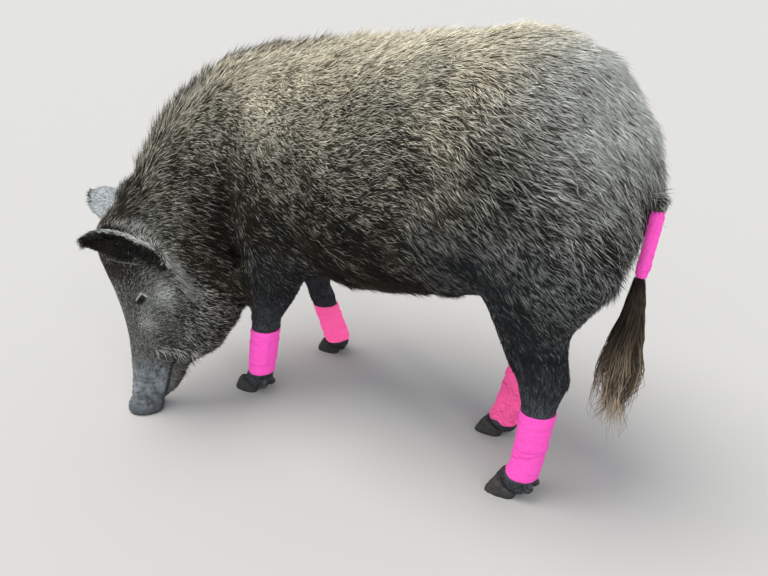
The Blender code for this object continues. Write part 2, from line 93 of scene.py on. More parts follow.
VOXEL = 0.0034                              # the grain in which the flesh is melted together
MERGE = 0.00005                             # corners this close are one corner
SWELL = 0.0009                              # closes the thin cuts between the nodes of flesh
SKIN_TRIANGLES = 186000
EVENING = 0.8                               # how far one round of evening draws a vertex
BLEND_ROUNDS = 14                           # how widely two groups of flesh run into each other
TUFT_TRIANGLES, MOST_TRIANGLES = 6, 200000  # in a tuft, and in a piece of the coat
ROOT_DEPTH = 0.0003                         # how deep a tuft starts under the skin, and how much
ROOT_SHARE = 0.028                          # deeper for each metre of its length
RING_PLACE = 0.56                           # where along its length a tuft is widest
PATCH = 0.0015                              # half the width of a tuft's patch on the map

# The flesh, grouped by how it is shaped and covered: its nodes, the rounds that even out its
# shape, how deep the skin lies under the tips, a tuft's length and width and its lift in degrees,
# and the tufts on a square metre.
Cover = namedtuple("Cover", "nodes rounds depth length width lift crowd")
SIDES = ("left", "right")
FLESH = {
    "snout": Cover(("snout",), 1, 0.0, 0.002, 0.0006, 10, 0),
    "ear": Cover(("ear_left", "ear_right"), 3, 0.0012, 0.011, 0.0012, 14, 240000),
    "tail": Cover(("tail",), 6, 0.001, 0.012, 0.0014, 12, 120000),
    "foot": Cover([f"{end}foot_{s}" for end in ("fore", "hind") for s in SIDES],
                  10, 0.0016, 0.007, 0.0012, 12, 200000),
    "leg": Cover([f"{end}leg_{s}" for end in ("fore", "hind") for s in SIDES],
                 24, 0.004, 0.020, 0.0013, 9, 122000),
    "head": Cover(("head", "lower_jaw"), 34, 0.0032, 0.0125, 0.00092, 11, 260000),
    "neck": Cover(("neck",), 110, 0.0105, 0.033, 0.0013, 17, 120000),
    "trunk": Cover(("trunk",), 140, 0.0105, 0.034, 0.0013, 16, 118000),
}
GROUPS = list(FLESH)
FLESH_NODES = [node for cover in FLESH.values() for node in cover.nodes]

# The crest from the middle of the back to the poll, and the mouth's line on the head.
CREST = np.array((
    (0.0, 0.16, 0.800), (0.0, -0.05, 0.785), (0.0, -0.20, 0.762), (0.0, -0.32, 0.748),
    (0.043, -0.438, 0.700), (0.128, -0.512, 0.600), (0.208, -0.518, 0.508), (0.275, -0.490, 0.445),
)) + SHIFT
MANE_WIDTH = 0.045
MANE_DEPTH = 0.012                          # how much deeper the skin lies under the mane
MOUTH = np.array(((-0.036, 0.004), (-0.052, 0.060), (-0.066, 0.108), (-0.076, 0.128)))

# An ear on the head's side: its rim, which runs on down the cheek, the middle of its hollow with
# the hollow's half width at each point, and its lower rim. Each is (ahead, height).
RIM = np.array(((0.044, 0.434), (0.022, 0.436), (-0.009, 0.430), (-0.046, 0.419), (-0.078, 0.391),
                (-0.098, 0.364), (-0.108, 0.331), (-0.117, 0.299), (-0.124, 0.275)))
HOLLOW_MIDDLE = np.array(((0.040, 0.408), (0.0, 0.397), (-0.044, 0.393), (-0.064, 0.374),
                          (-0.074, 0.357)))
HOLLOW_WIDTH = (0.020, 0.023, 0.023, 0.019, 0.013)
LOW_RIM = np.array(((0.020, 0.376), (-0.002, 0.373), (-0.024, 0.370), (-0.038, 0.369)))
# The fringed upper lip and the dark line under the eye, on the head's side as well. The groin's
# fold, darkened with painted shade, is on the body's side, each (along, height).
LIP = np.array(((-0.044, 0.166), (-0.075, 0.160), (-0.108, 0.150)))
EYE_STREAK = np.array(((-0.016, 0.286), (-0.016, 0.260), (-0.008, 0.225)))
GROIN = np.array(((0.25, 0.46), (0.30, 0.43), (0.335, 0.38), (0.365, 0.32)))

AXES = np.stack((LEFT, AHEAD, UP))          # the head's own three directions
# The ears' roots and tips, along those directions from the floor under the snout.
EAR_ROOTS = {"left": (0.070, -0.082, 0.354), "right": (-0.070, -0.082, 0.354)}
EAR_TIPS = {"left": (0.140, 0.048, 0.441), "right": (-0.150, 0.066, 0.453)}
EAR_DROOP = {"left": (0.022, 0.026), "right": (0.020, 0.038)}      # how far, and over what reach
DEWCLAWS = [node for node in frame["nodes"] if node.startswith("dewclaw")]

EYE_RADIUS = 0.0155
LID_RADIUS = 0.0172
EYE_LENGTH, EYE_HEIGHT = 0.74, 0.32         # half the opening, in radians round the ball
CORNEA = 0.0011                             # how far it bulges
LASHES = 30                                 # on each lid

DEWCLAW_BARE = 0.60                         # the share of a dewclaw that shows under its hair
DEWCLAW_SIZE = 0.84                         # and its size and place by its solid's
DEWCLAW_TUCK = 0.006
HORN_VOXEL, HORN_RING = 0.0016, 0.0042      # a claw's grain, and the height of a growth ring

# The wraps. A wrap is given by its tape's width, its rounds, how deep it creases and crumples, its
# seed, the turn that it starts at, how far it stops short of its solid's top, its dye, how dirty
# that is, and how strongly the cloth is painted to glow, whatever the lamps.
Wrap = namedtuple("Wrap", "tape rounds creases crumple seed start short dye dirt glow")
MAGENTA, CORAL = (0.95, 0.070, 0.46), (0.95, 0.088, 0.31)
WRAPS = {
    "wrap_foreleg_left": Wrap(0.090, 3.1, 0.0006, 0.0002, 61, 0.5, 0.0, MAGENTA, 0.16, 0.34),
    "wrap_foreleg_right": Wrap(0.075, 3.1, 0.0013, 0.0010, 63, 2.5, 0.022, CORAL, 0.20, 0.58),
    "wrap_hindleg_left": Wrap(0.075, 3.2, 0.0006, 0.0003, 65, 1.0, 0.0, MAGENTA, 0.20, 0.22),
    "wrap_hindleg_right": Wrap(0.075, 3.1, 0.0020, 0.0026, 67, 2.0, 0.0, CORAL, 0.32, 0.34),
    "wrap_tail": Wrap(0.100, 3.1, 0.0004, 0.0003, 69, 2.8, 0.014, MAGENTA, 0.16, 0.30),
}
UNDER_WRAP = 0.0058                         # how deep the skin lies under the wraps' outside
TAIL_SLIM = 0.0025                          # how much slimmer the tail is than its solids
TAIL_END_DEPTH = 0.006                      # how deep its bare end lies in the switch
WRAP_CLOTH = 0.0006                         # the tape's own thickness
TAPE_STEPS, TAPE_ROWS = 80, 30              # its faces for each round, and across
# The fold lines' painted shade is darkest at this crumple.
CRUMPLE_DEEPEST = 0.0024                    # the crumple whose lines are darkest


# ---------------------------------------------------------------- meshes

def only(*objects):
    """Selects these objects and nothing else."""
    for other in bpy.context.view_layer.objects:
        other.select_set(False)
    for chosen in objects:
        chosen.select_set(True)
    bpy.context.view_layer.objects.active = objects[0]


def edit(thing, *steps):
    """Runs edit mode steps on all of an object's mesh."""
    only(thing)
    bpy.ops.object.mode_set(mode="EDIT")
    bpy.ops.mesh.select_all(action="SELECT")
    for task in steps:
        task()
    bpy.ops.object.mode_set(mode="OBJECT")


def edit_faces(thing, chosen, task):
    """Runs one edit mode step on the chosen faces."""
    only(thing)
    bpy.ops.object.mode_set(mode="EDIT")
    bpy.ops.mesh.select_mode(type="FACE")
    bpy.ops.mesh.select_all(action="DESELECT")
    bpy.ops.object.mode_set(mode="OBJECT")
    thing.data.polygons.foreach_set("select", chosen)
    bpy.ops.object.mode_set(mode="EDIT")
    task()
    bpy.ops.object.mode_set(mode="OBJECT")


def apply(thing, kind, **settings):
    """Adds a modifier to an object and applies it."""
    only(thing)
    modifier = thing.modifiers.new(kind.title(), kind)
    for key, value in settings.items():
        setattr(modifier, key, value)
    bpy.ops.object.modifier_apply(modifier=modifier.name)


def copy_of(name, nodes):
    """The nodes' shapes in one new object, with their loose triangles joined up."""
    copies = []
    for node in nodes:
        copy = bpy.data.objects.new(name, frame["nodes"][node].data.copy())
        bpy.context.scene.collection.objects.link(copy)
        copies.append(copy)
    only(*copies)
    if len(copies) > 1:
        bpy.ops.object.join()
    made = copies[0]
    made.name = name
    made.data.materials.clear()
    bpy.ops.mesh.customdata_custom_splitnormals_clear()
    edit(made, lambda: bpy.ops.mesh.remove_doubles(threshold=MERGE))
    return made


def numbers(items, key, width=1, kind=np.float32):
    """One property of a mesh's vertices, edges or faces, as an array."""
    values = np.empty(len(items) * width, kind)
    items.foreach_get(key, values)
    return values.reshape(-1, width) if width > 1 else values


def points_of(thing):
    """The places of a mesh's vertices."""
    return numbers(thing.data.vertices, "co", 3).astype(float)


def normals_of(thing):
    """The directions that a mesh's vertices face."""
    return numbers(thing.data.vertices, "normal", 3).astype(float)


def move_to(thing, points):
    """Puts a mesh's vertices at these points."""
    thing.data.vertices.foreach_set("co", points.astype(np.float32).ravel())
    thing.data.update()


class Web:
    """The edges of a mesh, to even out what is held at its vertices."""

    def __init__(self, thing):
        pairs = numbers(thing.data.edges, "vertices", 2, np.int32)
        self.start = np.concatenate((pairs[:, 0], pairs[:, 1]))
        self.end = np.concatenate((pairs[:, 1], pairs[:, 0]))
        self.size = len(thing.data.vertices)
        self.count = np.maximum(np.bincount(self.start, minlength=self.size), 1)

    def even(self, values, rounds):
        """The values with each vertex drawn towards its neighbours, this many times."""
        values = values.copy()
        for _ in range(rounds):
            for column in values.T:
                total = np.bincount(self.start, column[self.end], self.size)
                column += EVENING * (total / self.count - column)
        return values


def wander(points, size, seed, waves=12):
    """A smooth number that wanders between about -1 and 1 from place to place."""
    random = np.random.default_rng(seed)
    ways = unit(random.normal(size=(waves, 3))) * random.uniform(0.6, 1.7, (waves, 1))
    phases = random.uniform(0, 2 * math.pi, waves)
    return np.sin(points @ ways.T * (2 * math.pi / size) + phases).sum(1) / math.sqrt(waves)


def bell(distance, width):
    """1 where the distance is 0, and falling off within the width."""
    return np.exp(-(distance / width) ** 2)


def step(low, high, value):
    """Rises smoothly from 0 to 1 as value goes from low to high."""
    rise = np.clip((value - low) / (high - low), 0, 1)
    return rise * rise * (3 - 2 * rise)


def from_line(places, line):
    """Distance of each place from a line of points, and how far along the line it lies, 0 to 1."""
    lengths = np.linalg.norm(np.diff(line, axis=0), axis=1)
    starts = np.concatenate(((0,), np.cumsum(lengths)))
    nearest = np.full(len(places), np.inf)
    along = np.zeros(len(places))
    for start, end, length, before in zip(line[:-1], line[1:], lengths, starts):
        part = np.clip((places - start) @ (end - start) / length ** 2, 0, 1)
        distance = np.linalg.norm(places - start - part[:, None] * (end - start), axis=1)
        closer = distance < nearest
        nearest[closer] = distance[closer]
        along[closer] = (before + part[closer] * length) / starts[-1]
    return nearest, along


def on_head(points):
    """Places on the head: out to its left, ahead of the snout, and up."""
    flat = points - SNOUT
    return flat @ LEFT, flat @ AHEAD, points[:, 2]


# ---------------------------------------------------------------- the skin

def shares_of(thing, web):
    """How much each vertex belongs to each group of flesh, blended where two groups meet."""
    corners, faces, owners = [], [], []
    for number, cover in enumerate(FLESH.values()):
        for node in cover.nodes:
            mesh = frame["nodes"][node].data
            start = len(corners)
            corners.extend(vertex.co for vertex in mesh.vertices)
            faces.extend([start + v for v in face.vertices] for face in mesh.polygons)
            owners.extend([number] * len(mesh.polygons))
    tree = BVHTree.FromPolygons(corners, faces)
    owner = [owners[tree.find_nearest(vertex.co)[2]] for vertex in thing.data.vertices]
    shares = np.zeros((web.size, len(GROUPS)))
    shares[np.arange(web.size), owner] = 1
    return web.even(shares, BLEND_ROUNDS)


def blended(shares, key):
    """A number of the table of flesh, blended by the shares of the groups."""
    return shares @ np.array([getattr(cover, key) for cover in FLESH.values()], float)


def share(shares, group):
    """How much of each vertex belongs to a group of flesh."""
    return shares[:, GROUPS.index(group)]


def eye_axes(side):
    """The eye's middle and its way out, along its opening, and across it. side is 1 on the left."""
    out = unit(0.93 * side * LEFT + 0.36 * AHEAD + 0.06 * UP)
    along = -0.70 * AHEAD + 0.72 * UP
    along = unit(along - out * (along @ out))
    across = np.cross(out, along) * side
    return middle("eye_left" if side > 0 else "eye_right"), out, along, across


def round_eyes(points):
    """For each eye, how far each point is from it, along its opening and across it."""
    for side in (1, -1):
        eye, _, along, across = eye_axes(side)
        away = points - eye
        yield np.linalg.norm(away, axis=1), away @ along, away @ across


def near_eyes(points, reach):
    """True at the points within this reach of an eye."""
    return np.minimum(*(off_eye for off_eye, _, _ in round_eyes(points))) < reach


def off_ear_tips(points):
    """How far each point is from the nearer ear's tip."""
    return np.minimum(*(np.linalg.norm(points - SNOUT - np.array(EAR_TIPS[side]) @ AXES, axis=1)
                        for side in SIDES))


def ear_marks(points, normals):
    """Masks on the head: the ear's hollow, the rim that runs down the cheek, and the lower rim."""
    out, ahead, height = on_head(points)
    flap = step(0.06, 0.15, np.abs(out)) * (out < 0)      # the right ear stands a little higher
    places = np.stack((ahead - 0.018 * flap, height - 0.012 * flap), 1)
    facing = normals @ LEFT * np.sign(out)
    inside = step(0.72, 0.45, normals[:, 2]) * step(-0.1, 0.2, facing) * step(0.03, 0.05, np.abs(out))
    gap, along = from_line(places, HOLLOW_MIDDLE)
    lengths = np.concatenate(((0,), np.cumsum(np.linalg.norm(np.diff(HOLLOW_MIDDLE, axis=0), axis=1))))
    half = np.interp(along * lengths[-1], lengths, HOLLOW_WIDTH)
    hollow = step(1.12, 0.84, gap / half) * inside
    outer = step(0.03, 0.05, np.abs(out)) * step(-0.4, 0.0, facing)
    gap, along = from_line(places, RIM)
    rim = bell(gap, 0.0095) * outer * (1 - hollow)
    gap, _ = from_line(places, LOW_RIM)
    low_rim = bell(gap, 0.0030) * inside
    rim *= step(1.0, 0.85, along)
    return hollow, rim * step(0.03, 0.12, along), rim * step(0.5, 0.62, along), low_rim


class Places:
    """The vertices of the skin: where they lie on the body and the head, and whose flesh they are."""

    def __init__(self, points, normals, shares):
        self.points, self.normals, self.shares = points, normals, shares
        out, ahead, height = on_head(points)
        y, z = (points - SHIFT).T[1:]
        self.measures = out, ahead, height, np.abs(out), y, z
        self.profile = np.stack((ahead, height), 1)
        self.off_crest = from_line(points, CREST)[0]
        self.ear_marks = ear_marks(points, normals)
        for group in GROUPS:
            setattr(self, group, share(shares, group))


def refine(skin):
    """Finer faces on the muzzle, the ears and round the eyes."""

    def cut():
        """Cuts each face in four."""
        bpy.ops.mesh.subdivide(number_cuts=1)

    def middles():
        """The middle of each face."""
        return numbers(skin.data.polygons, "center", 3).astype(float)

    places = middles()
    out, ahead, height = on_head(places)
    chosen = (np.abs(out) < 0.075) & (ahead > -0.13) & (height < 0.155)
    for low, high in (box_of(f"ear_{side}") for side in SIDES):
        chosen |= ((places > low - 0.004) & (places < high + 0.004)).all(1)
    chosen |= near_eyes(places, 0.042)
    edit_faces(skin, chosen, cut)
    edit_faces(skin, near_eyes(middles(), 0.027), cut)


def lids(points):
    """The skin drawn over the eyeballs, with an almond opening, a margin and folds round it."""
    for side in (1, -1):
        eye, out, along, across = eye_axes(side)
        away = points - eye
        distance = np.linalg.norm(away, axis=1)
        way = away / distance[:, None]
        a = np.arctan2(way @ along, way @ out) / EYE_LENGTH
        b = np.arctan2(way @ across, way @ out)
        edge = EYE_HEIGHT * np.clip(1 - a ** 2, -1, 1)
        front = (way @ out > 0.1) & (distance < 0.045)
        beyond = np.abs(b) - edge                        # from the lid's margin, in radians
        beyond = np.where(np.abs(a) > 1, np.hypot(np.abs(a) - 1, b) * EYE_LENGTH, beyond)
        hug = LID_RADIUS + 0.0012 * bell(beyond - 0.10, 0.09)
        fold = 0.0011 * bell(beyond - 0.34, 0.07) + 0.0007 * bell(beyond - 0.56, 0.08)
        lid = np.maximum(distance, hug) + 0.3 * np.maximum(0, 0.004 - np.abs(distance - hug)) \
            - fold * (distance < 0.03)
        target = np.where(beyond < 0, EYE_RADIUS - 0.0022, lid)
        target = np.where(front, target, distance)
        points = eye + way * target[:, None]
    return points


def under_wraps(points, margin):
    """True where a wrap covers the skin, and this far above its upper edge."""
    covered = np.zeros(len(points), bool)
    for node, wrap in WRAPS.items():
        low, high = box_of(node)
        high[2] -= wrap.short
        inside = (points > low - 0.012) & (points < high + 0.012)
        covered |= inside[:, 0] & inside[:, 1] & (points[:, 2] > low[2] - min(margin, 0.001)) \
            & (points[:, 2] < high[2] + margin)
    return covered


def sculpt(at):
    """Folds, hollows and creases of the body and the head, moved along the normals."""
    points = at.points
    _, ahead, height, side, y, z = at.measures
    head = at.head + at.snout
    lift = np.zeros(len(points))

    # The muzzle: rings of wrinkles above the disc, a crease along each side, a ridge on top.
    muzzle = head * step(0.175, 0.11, height) * step(-0.075, -0.03, ahead)
    ripple = np.sin((height + 0.0055 * wander(points, 0.05, 3)) * 2 * math.pi / 0.0115)
    lift += 0.0010 * muzzle * ripple * step(0.012, 0.028, height) * (0.6 + 0.5 * wander(points, 0.04, 4))
    lift += 0.0007 * muzzle * wander(points, 0.012, 5)
    lift -= 0.0035 * head * bell(side - 0.030, 0.008) * bell(ahead + 0.002, 0.02) * step(0.05, 0.09, height) \
        * step(0.27, 0.2, height)
    # The mouth: a groove to its corner, with a full lip in front and a fold behind.
    gap, _ = from_line(at.profile, MOUTH)
    on_side = head * step(0.012, 0.02, side)
    lift -= 0.0058 * on_side * bell(gap, 0.0030)
    lift += 0.0022 * on_side * bell(gap - 0.008, 0.006) * step(-0.07, -0.03, ahead)
    # The face: a brow, a hollow before and under the eye, the cheekbone, the jaw's edge.
    for off_eye, a, b in round_eyes(points):
        near = head * step(0.060, 0.045, off_eye)
        lift += 0.0050 * near * bell(np.hypot(a / 1.5, b - 0.020), 0.013)
        lift -= 0.0040 * near * bell(np.hypot(a + 0.020, b + 0.012), 0.016)
        lift -= 0.0022 * near * bell(np.hypot(a / 1.6, b + 0.022), 0.008)
    lift += 0.0060 * head * bell(side - 0.075, 0.03) * bell(height - 0.235, 0.020) \
        * bell(ahead + 0.07, 0.04)
    lift -= 0.0050 * (at.head + at.neck) * bell(height - 0.160, 0.014) * bell(ahead + 0.115, 0.03)
    # The ears: a deep hollow, a rim that runs on down the cheek, a thin lower rim.
    hollow, _, ridge, low_rim = at.ear_marks
    lift -= 0.0085 * at.head * hollow
    lift += 0.0050 * ridge + 0.0034 * low_rim * (1 - at.ear)
    # The hocks, at the back of the hind legs.
    lift += 0.006 * at.leg * bell(z - 0.255, 0.032) * step(0.1, 0.8, at.normals[:, 1]) * (y > 0.2)
    # The body: soft muscles.
    lift += 0.0022 * (at.trunk + at.neck) * wander(points, 0.17, 6)
    lift += 0.0012 * (at.trunk + at.neck + at.leg) * wander(points, 0.07, 7)
    return lift


def tucked(points, nodes, margin=0.001):
    """Places on the dewclaws, drawn in smaller and closer to the foot."""
    points = points.copy()
    for node in nodes:
        low, high = box_of(node)
        mine = ((points > low - margin) & (points < high + margin)).all(1)
        foot = middle(node.removeprefix("dewclaw_").rsplit("_", 1)[0])
        heart = (low + high) / 2
        inward = unit((foot - heart) * (1, 1, 0)) * DEWCLAW_TUCK
        points[mine] = heart + inward + (points[mine] - heart) * DEWCLAW_SIZE
    return points


def melted():
    """The nodes of flesh melted into one skin, each group evened out by its own rounds."""
    toes = copy_of("toes", DEWCLAWS)
    move_to(toes, tucked(points_of(toes), DEWCLAWS))
    skin = copy_of("skin", FLESH_NODES + ["eye_left", "eye_right"])
    only(skin, toes)
    bpy.ops.object.join()
    move_to(skin, points_of(skin) + SWELL * normals_of(skin))
    apply(skin, "REMESH", mode="VOXEL", voxel_size=VOXEL)
    web = Web(skin)
    shares = shares_of(skin, web)
    shape = points_of(skin)
    evened = np.zeros_like(shape)
    done = 0
    for group, cover in sorted(FLESH.items(), key=lambda item: item[1].rounds):
        shape = web.even(shape, cover.rounds - done)
        done = cover.rounds
        evened += shape * share(shares, group)[:, None]
    move_to(skin, evened / shares.sum(1)[:, None])
    return skin


def carve(skin):
    """Sinks the skin under the coat and the wraps, with its folds, its lids and its drooping ears."""
    web = Web(skin)
    shares = web.even(shares_of(skin, web), 8)
    points = points_of(skin)
    normals = unit(web.even(normals_of(skin), 6))
    at = Places(points, normals, shares)
    depth = blended(shares, "depth") + MANE_DEPTH * bell(at.off_crest, MANE_WIDTH) * (at.neck + at.trunk)
    depth = np.maximum(depth, (UNDER_WRAP + TAIL_SLIM * at.tail) * under_wraps(points, -0.004))
    depth += TAIL_END_DEPTH * at.tail * (points[:, 2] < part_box("wrap_tail")[0][2] + 0.003)
    points = lids(points + (sculpt(at) - depth)[:, None] * normals)
    for side, (droop, reach) in EAR_DROOP.items():
        tip = SNOUT + (np.array(EAR_TIPS[side]) - (0, 0.004, 0.014)) @ AXES
        away = points - tip
        points[:, 2] -= droop * bell(np.linalg.norm(away * (1, 1, 0.8), axis=1), reach) \
            * step(0.012, -0.004, away[:, 2]) * at.ear
    points[:, 2] = np.maximum(points[:, 2], 0.0)
    move_to(skin, points)


def make_skin():
    """One skin over all the flesh, under the coat."""
    skin = melted()
    refine(skin)
    carve(skin)
    skin.data.calc_loop_triangles()
    apply(skin, "DECIMATE", ratio=SKIN_TRIANGLES / len(skin.data.loop_triangles))
    edit(skin, lambda: bpy.ops.mesh.quads_convert_to_tris(),
         lambda: bpy.ops.uv.smart_project(angle_limit=math.radians(66), island_margin=0.001))
    skin.data.shade_smooth()
    return skin


# ---------------------------------------------------------------- the coat's lie and colours

def towards(*direction):
    """A direction made one long."""
    return unit(np.array(direction, float))


def mixed(first, second, mask):
    """Between two colours or directions, by a mask of each place."""
    first, second = np.asarray(first, float), np.asarray(second, float)
    mask = np.asarray(mask)[:, None]
    return first * (1 - mask) + second * mask


def layered(tone, *coats):
    """A colour with others laid over it in turn, each by its own mask."""
    for over, mask in coats:
        tone = mixed(tone, over, mask)
    return tone


def lie_of(at, web):
    """The way the coat lies at each vertex, along the skin."""
    out, ahead, height, _, y, z = at.measures
    normals, gap = at.normals, at.off_crest
    slope = np.radians(np.interp(y, (-0.22, -0.06, 0.04, 0.12, 0.18, 0.23, 0.27, 0.32, 0.36, 0.40, 0.47),
                                 (8, 2, -7, -8, 10, 27, 34, 20, 12, 20, 42)))
    under = step(0.2, -0.5, normals[:, 2]) * step(0.42, 0.34, z)
    slope = slope * (1 - under)
    trunk = np.stack((0 * y, np.cos(slope), -np.sin(slope)), 1)
    neck = mixed(towards(-0.54, 0.56, 0.63), towards(-0.52, 0.82, -0.16), step(0.02, 0.13, gap))
    neck = mixed(neck, towards(-0.40, 0.85, -0.35), step(0.14, 0.30, gap))
    front = step(-0.075, -0.005, ahead)
    cheek = mixed(-0.85 * AHEAD - 0.50 * UP, -0.80 * AHEAD + 0.35 * UP, step(0.20, 0.36, height))
    head = mixed(cheek, UP - 0.25 * AHEAD, front)
    ear = np.zeros_like(normals)
    for side in SIDES:
        way = (np.array(EAR_TIPS[side]) - EAR_ROOTS[side]) @ AXES
        ear += unit(way) * ((out > 0) == (side == "left"))[:, None]
    ham = mixed(towards(0, 0.10, -1), towards(0, 0.80, -0.7), step(0.24, 0.42, z))
    fore = mixed(towards(0, 0.05, -1), towards(0, 0.80, -0.6), step(0.20, 0.34, z))
    leg = mixed(fore, ham, y > 0.0)
    ways = {"trunk": trunk, "neck": neck, "head": head, "snout": head, "ear": ear, "leg": leg,
            "foot": towards(0, 0.05, -1) + 0 * leg, "tail": towards(0, 0, -1) + 0 * leg}
    lie = sum(ways[group] * share(at.shares, group)[:, None] for group in GROUPS)
    lie = mixed(lie, -0.40 * AHEAD - 0.92 * UP, np.clip(1.3 * at.ear_marks[2], 0, 1))
    for rounds in (16, 16, 16, 0):
        lie = web.even(unit(lie - normals * (lie * normals).sum(1, keepdims=True)), rounds)
    return lie


def shape_of_coat(at):
    """The length, width and lift of a tuft and how close they stand, at each vertex."""
    _, ahead, height, _, y, z = at.measures
    head, leg, body = at.head, at.leg, at.neck + at.trunk
    mane = bell(at.off_crest, MANE_WIDTH) * (at.neck + at.trunk + head) * step(0.20, -0.02, y)
    length = blended(at.shares, "length") * (1 + 0.12 * wander(at.points, 0.10, 21))
    length = length * (1 - leg * np.interp(z, (0.10, 0.20, 0.32, 0.50), (0.55, 0.40, 0.15, 0.0)))
    length = length + (0.018 - 0.012 * head) * mane
    jowl = head * step(-0.06, -0.13, ahead) * step(0.40, 0.30, height)
    length += 0.010 * jowl - 0.004 * head * step(-0.04, 0.0, ahead) * step(0.34, 0.26, height)
    poll = head * step(0.34, 0.42, height)
    length += 0.006 * poll
    length -= 0.004 * body * step(0.40, 0.32, z)
    ham_edge = (leg + at.trunk) * step(0.42, 0.50, y) * step(0.62, 0.50, z) * step(0.25, 0.35, z)
    length += 0.007 * ham_edge
    width = blended(at.shares, "width") + 0.0004 * jowl
    lift = blended(at.shares, "lift") + (20 - 12 * head) * mane + 7 * jowl + 3 * poll + 6 * ham_edge
    lift += 5 * body * wander(at.points, 0.026, 38)
    crowd = blended(at.shares, "crowd")
    hollow, _, ridge, _ = at.ear_marks
    length += 0.006 * ridge - 0.004 * hollow
    crowd *= 1 - 0.5 * hollow
    bare = at.snout + head * step(0.115, 0.085, height) * step(-0.07, -0.045, ahead)
    crowd *= np.clip(1 - bare, 0, 1) * (1 - 0.6 * head * step(0.20, 0.10, height))
    for off_eye, a, b in round_eyes(at.points):
        ring = np.hypot(a / 1.25, b) + 9 * step(0.03, 0.05, off_eye)
        crowd *= step(0.010, 0.017, ring)
        length *= 1 - 0.45 * bell(ring, 0.026)
    return length, width, lift, crowd


# Colours, in linear light.
DARK = (0.0120, 0.0110, 0.0088)
BROWN = (0.030, 0.023, 0.016)
DUN = (0.088, 0.078, 0.055)
GREY = (0.53, 0.515, 0.42)
SAND = (0.74, 0.67, 0.52)
SILVER = (0.49, 0.515, 0.51)
FROST = (0.53, 0.57, 0.59)
HIDE = (0.017, 0.0155, 0.013)
UNDERCOAT = (0.155, 0.138, 0.100)
FACE = (0.098, 0.101, 0.090)
BLAZE = (0.34, 0.37, 0.365)
MUZZLE = (0.190, 0.212, 0.228)
LEATHER = (0.058, 0.066, 0.075)
# Painted shade: the near-black laid in the ear hollows, the mouth's groove, round the eye openings and where
# the snout's disc meets the floor.
PAINTED_SHADE = (0.0055, 0.0045, 0.0035)
# The lids' pinkish pale, laid as a painted highlight along the upper lid's fold and at the outer corner.
LID_AND_HIGHLIGHT = (0.62, 0.56, 0.58)
BLUE_BLACK = (0.0115, 0.0130, 0.0155)
# A painted sheen: the lower legs' black hair and hide made paler and bluer.
HOCK_SHEEN = (0.048, 0.054, 0.061)

# Where the coat is paler or darker than its run: along the body, height, reach, how much.
PATCHES = (
    (-0.20, 0.66, 0.13, 0.30), (-0.26, 0.64, 0.08, 0.25), (-0.41, 0.51, 0.06, -0.38),
    (-0.35, 0.44, 0.05, -0.18), (-0.38, 0.43, 0.03, 0.30), (0.30, 0.63, 0.07, -0.22),
    (0.17, 0.49, 0.06, 0.16), (0.30, 0.48, 0.04, -0.12), (0.44, 0.55, 0.05, 0.12),
    (0.16, 0.645, 0.05, -0.18), (0.40, 0.70, 0.10, 0.12), (0.30, 0.42, 0.05, -0.30),
)


def ear_shade_of(at):
    """1 in the hollows of the ears, where the hide and the coat get painted shade."""
    out, ahead = at.measures[:2]
    inside = np.where(out > 0, *(at.normals @ (towards(way, 0.0, -0.75) @ AXES) for way in (0.62, -0.62)))
    hollow, _, ridge, _ = at.ear_marks
    behind = step(-0.086, -0.078, ahead) * (1 - ridge)
    return np.maximum(at.ear * step(-0.05, 0.25, inside) * behind, hollow)


# The masks that the hide and the coat share: the head, the legs, the ear hollows' painted shade, the dark
# brow, the pale blaze, the dark streak under the eye, the right ear outside its hollow, and either ear's end.
Marks = namedtuple("Marks", "head leg hollow brow blaze tear far tip")


def marks_of(at):
    """The markings of the head and the ears, and the painted shade in the ear hollows, at each vertex."""
    out, ahead, height, side = at.measures[:4]
    head = at.head + at.snout
    brow = step(-0.05, -0.01, ahead) * step(0.30, 0.34, height)
    blaze = bell(np.hypot(ahead + 0.070, (height - 0.298) / 1.5), 0.021) \
        + 0.8 * bell(np.hypot(ahead + 0.030, (height - 0.238) / 1.8), 0.018)
    blaze = head * np.clip(blaze, 0, 1) * step(0.03, 0.05, side)
    # A dark streak running down from below the eye.
    eye_streak = bell(from_line(at.profile, EYE_STREAK)[0], 0.0065) * step(0.03, 0.05, side)
    hollow = ear_shade_of(at)
    far = at.ear * (out < 0) * (1 - hollow)
    tip = step(0.045, 0.015, off_ear_tips(at.points))
    return Marks(head, at.leg + at.foot, hollow, brow, blaze, eye_streak, far, tip)


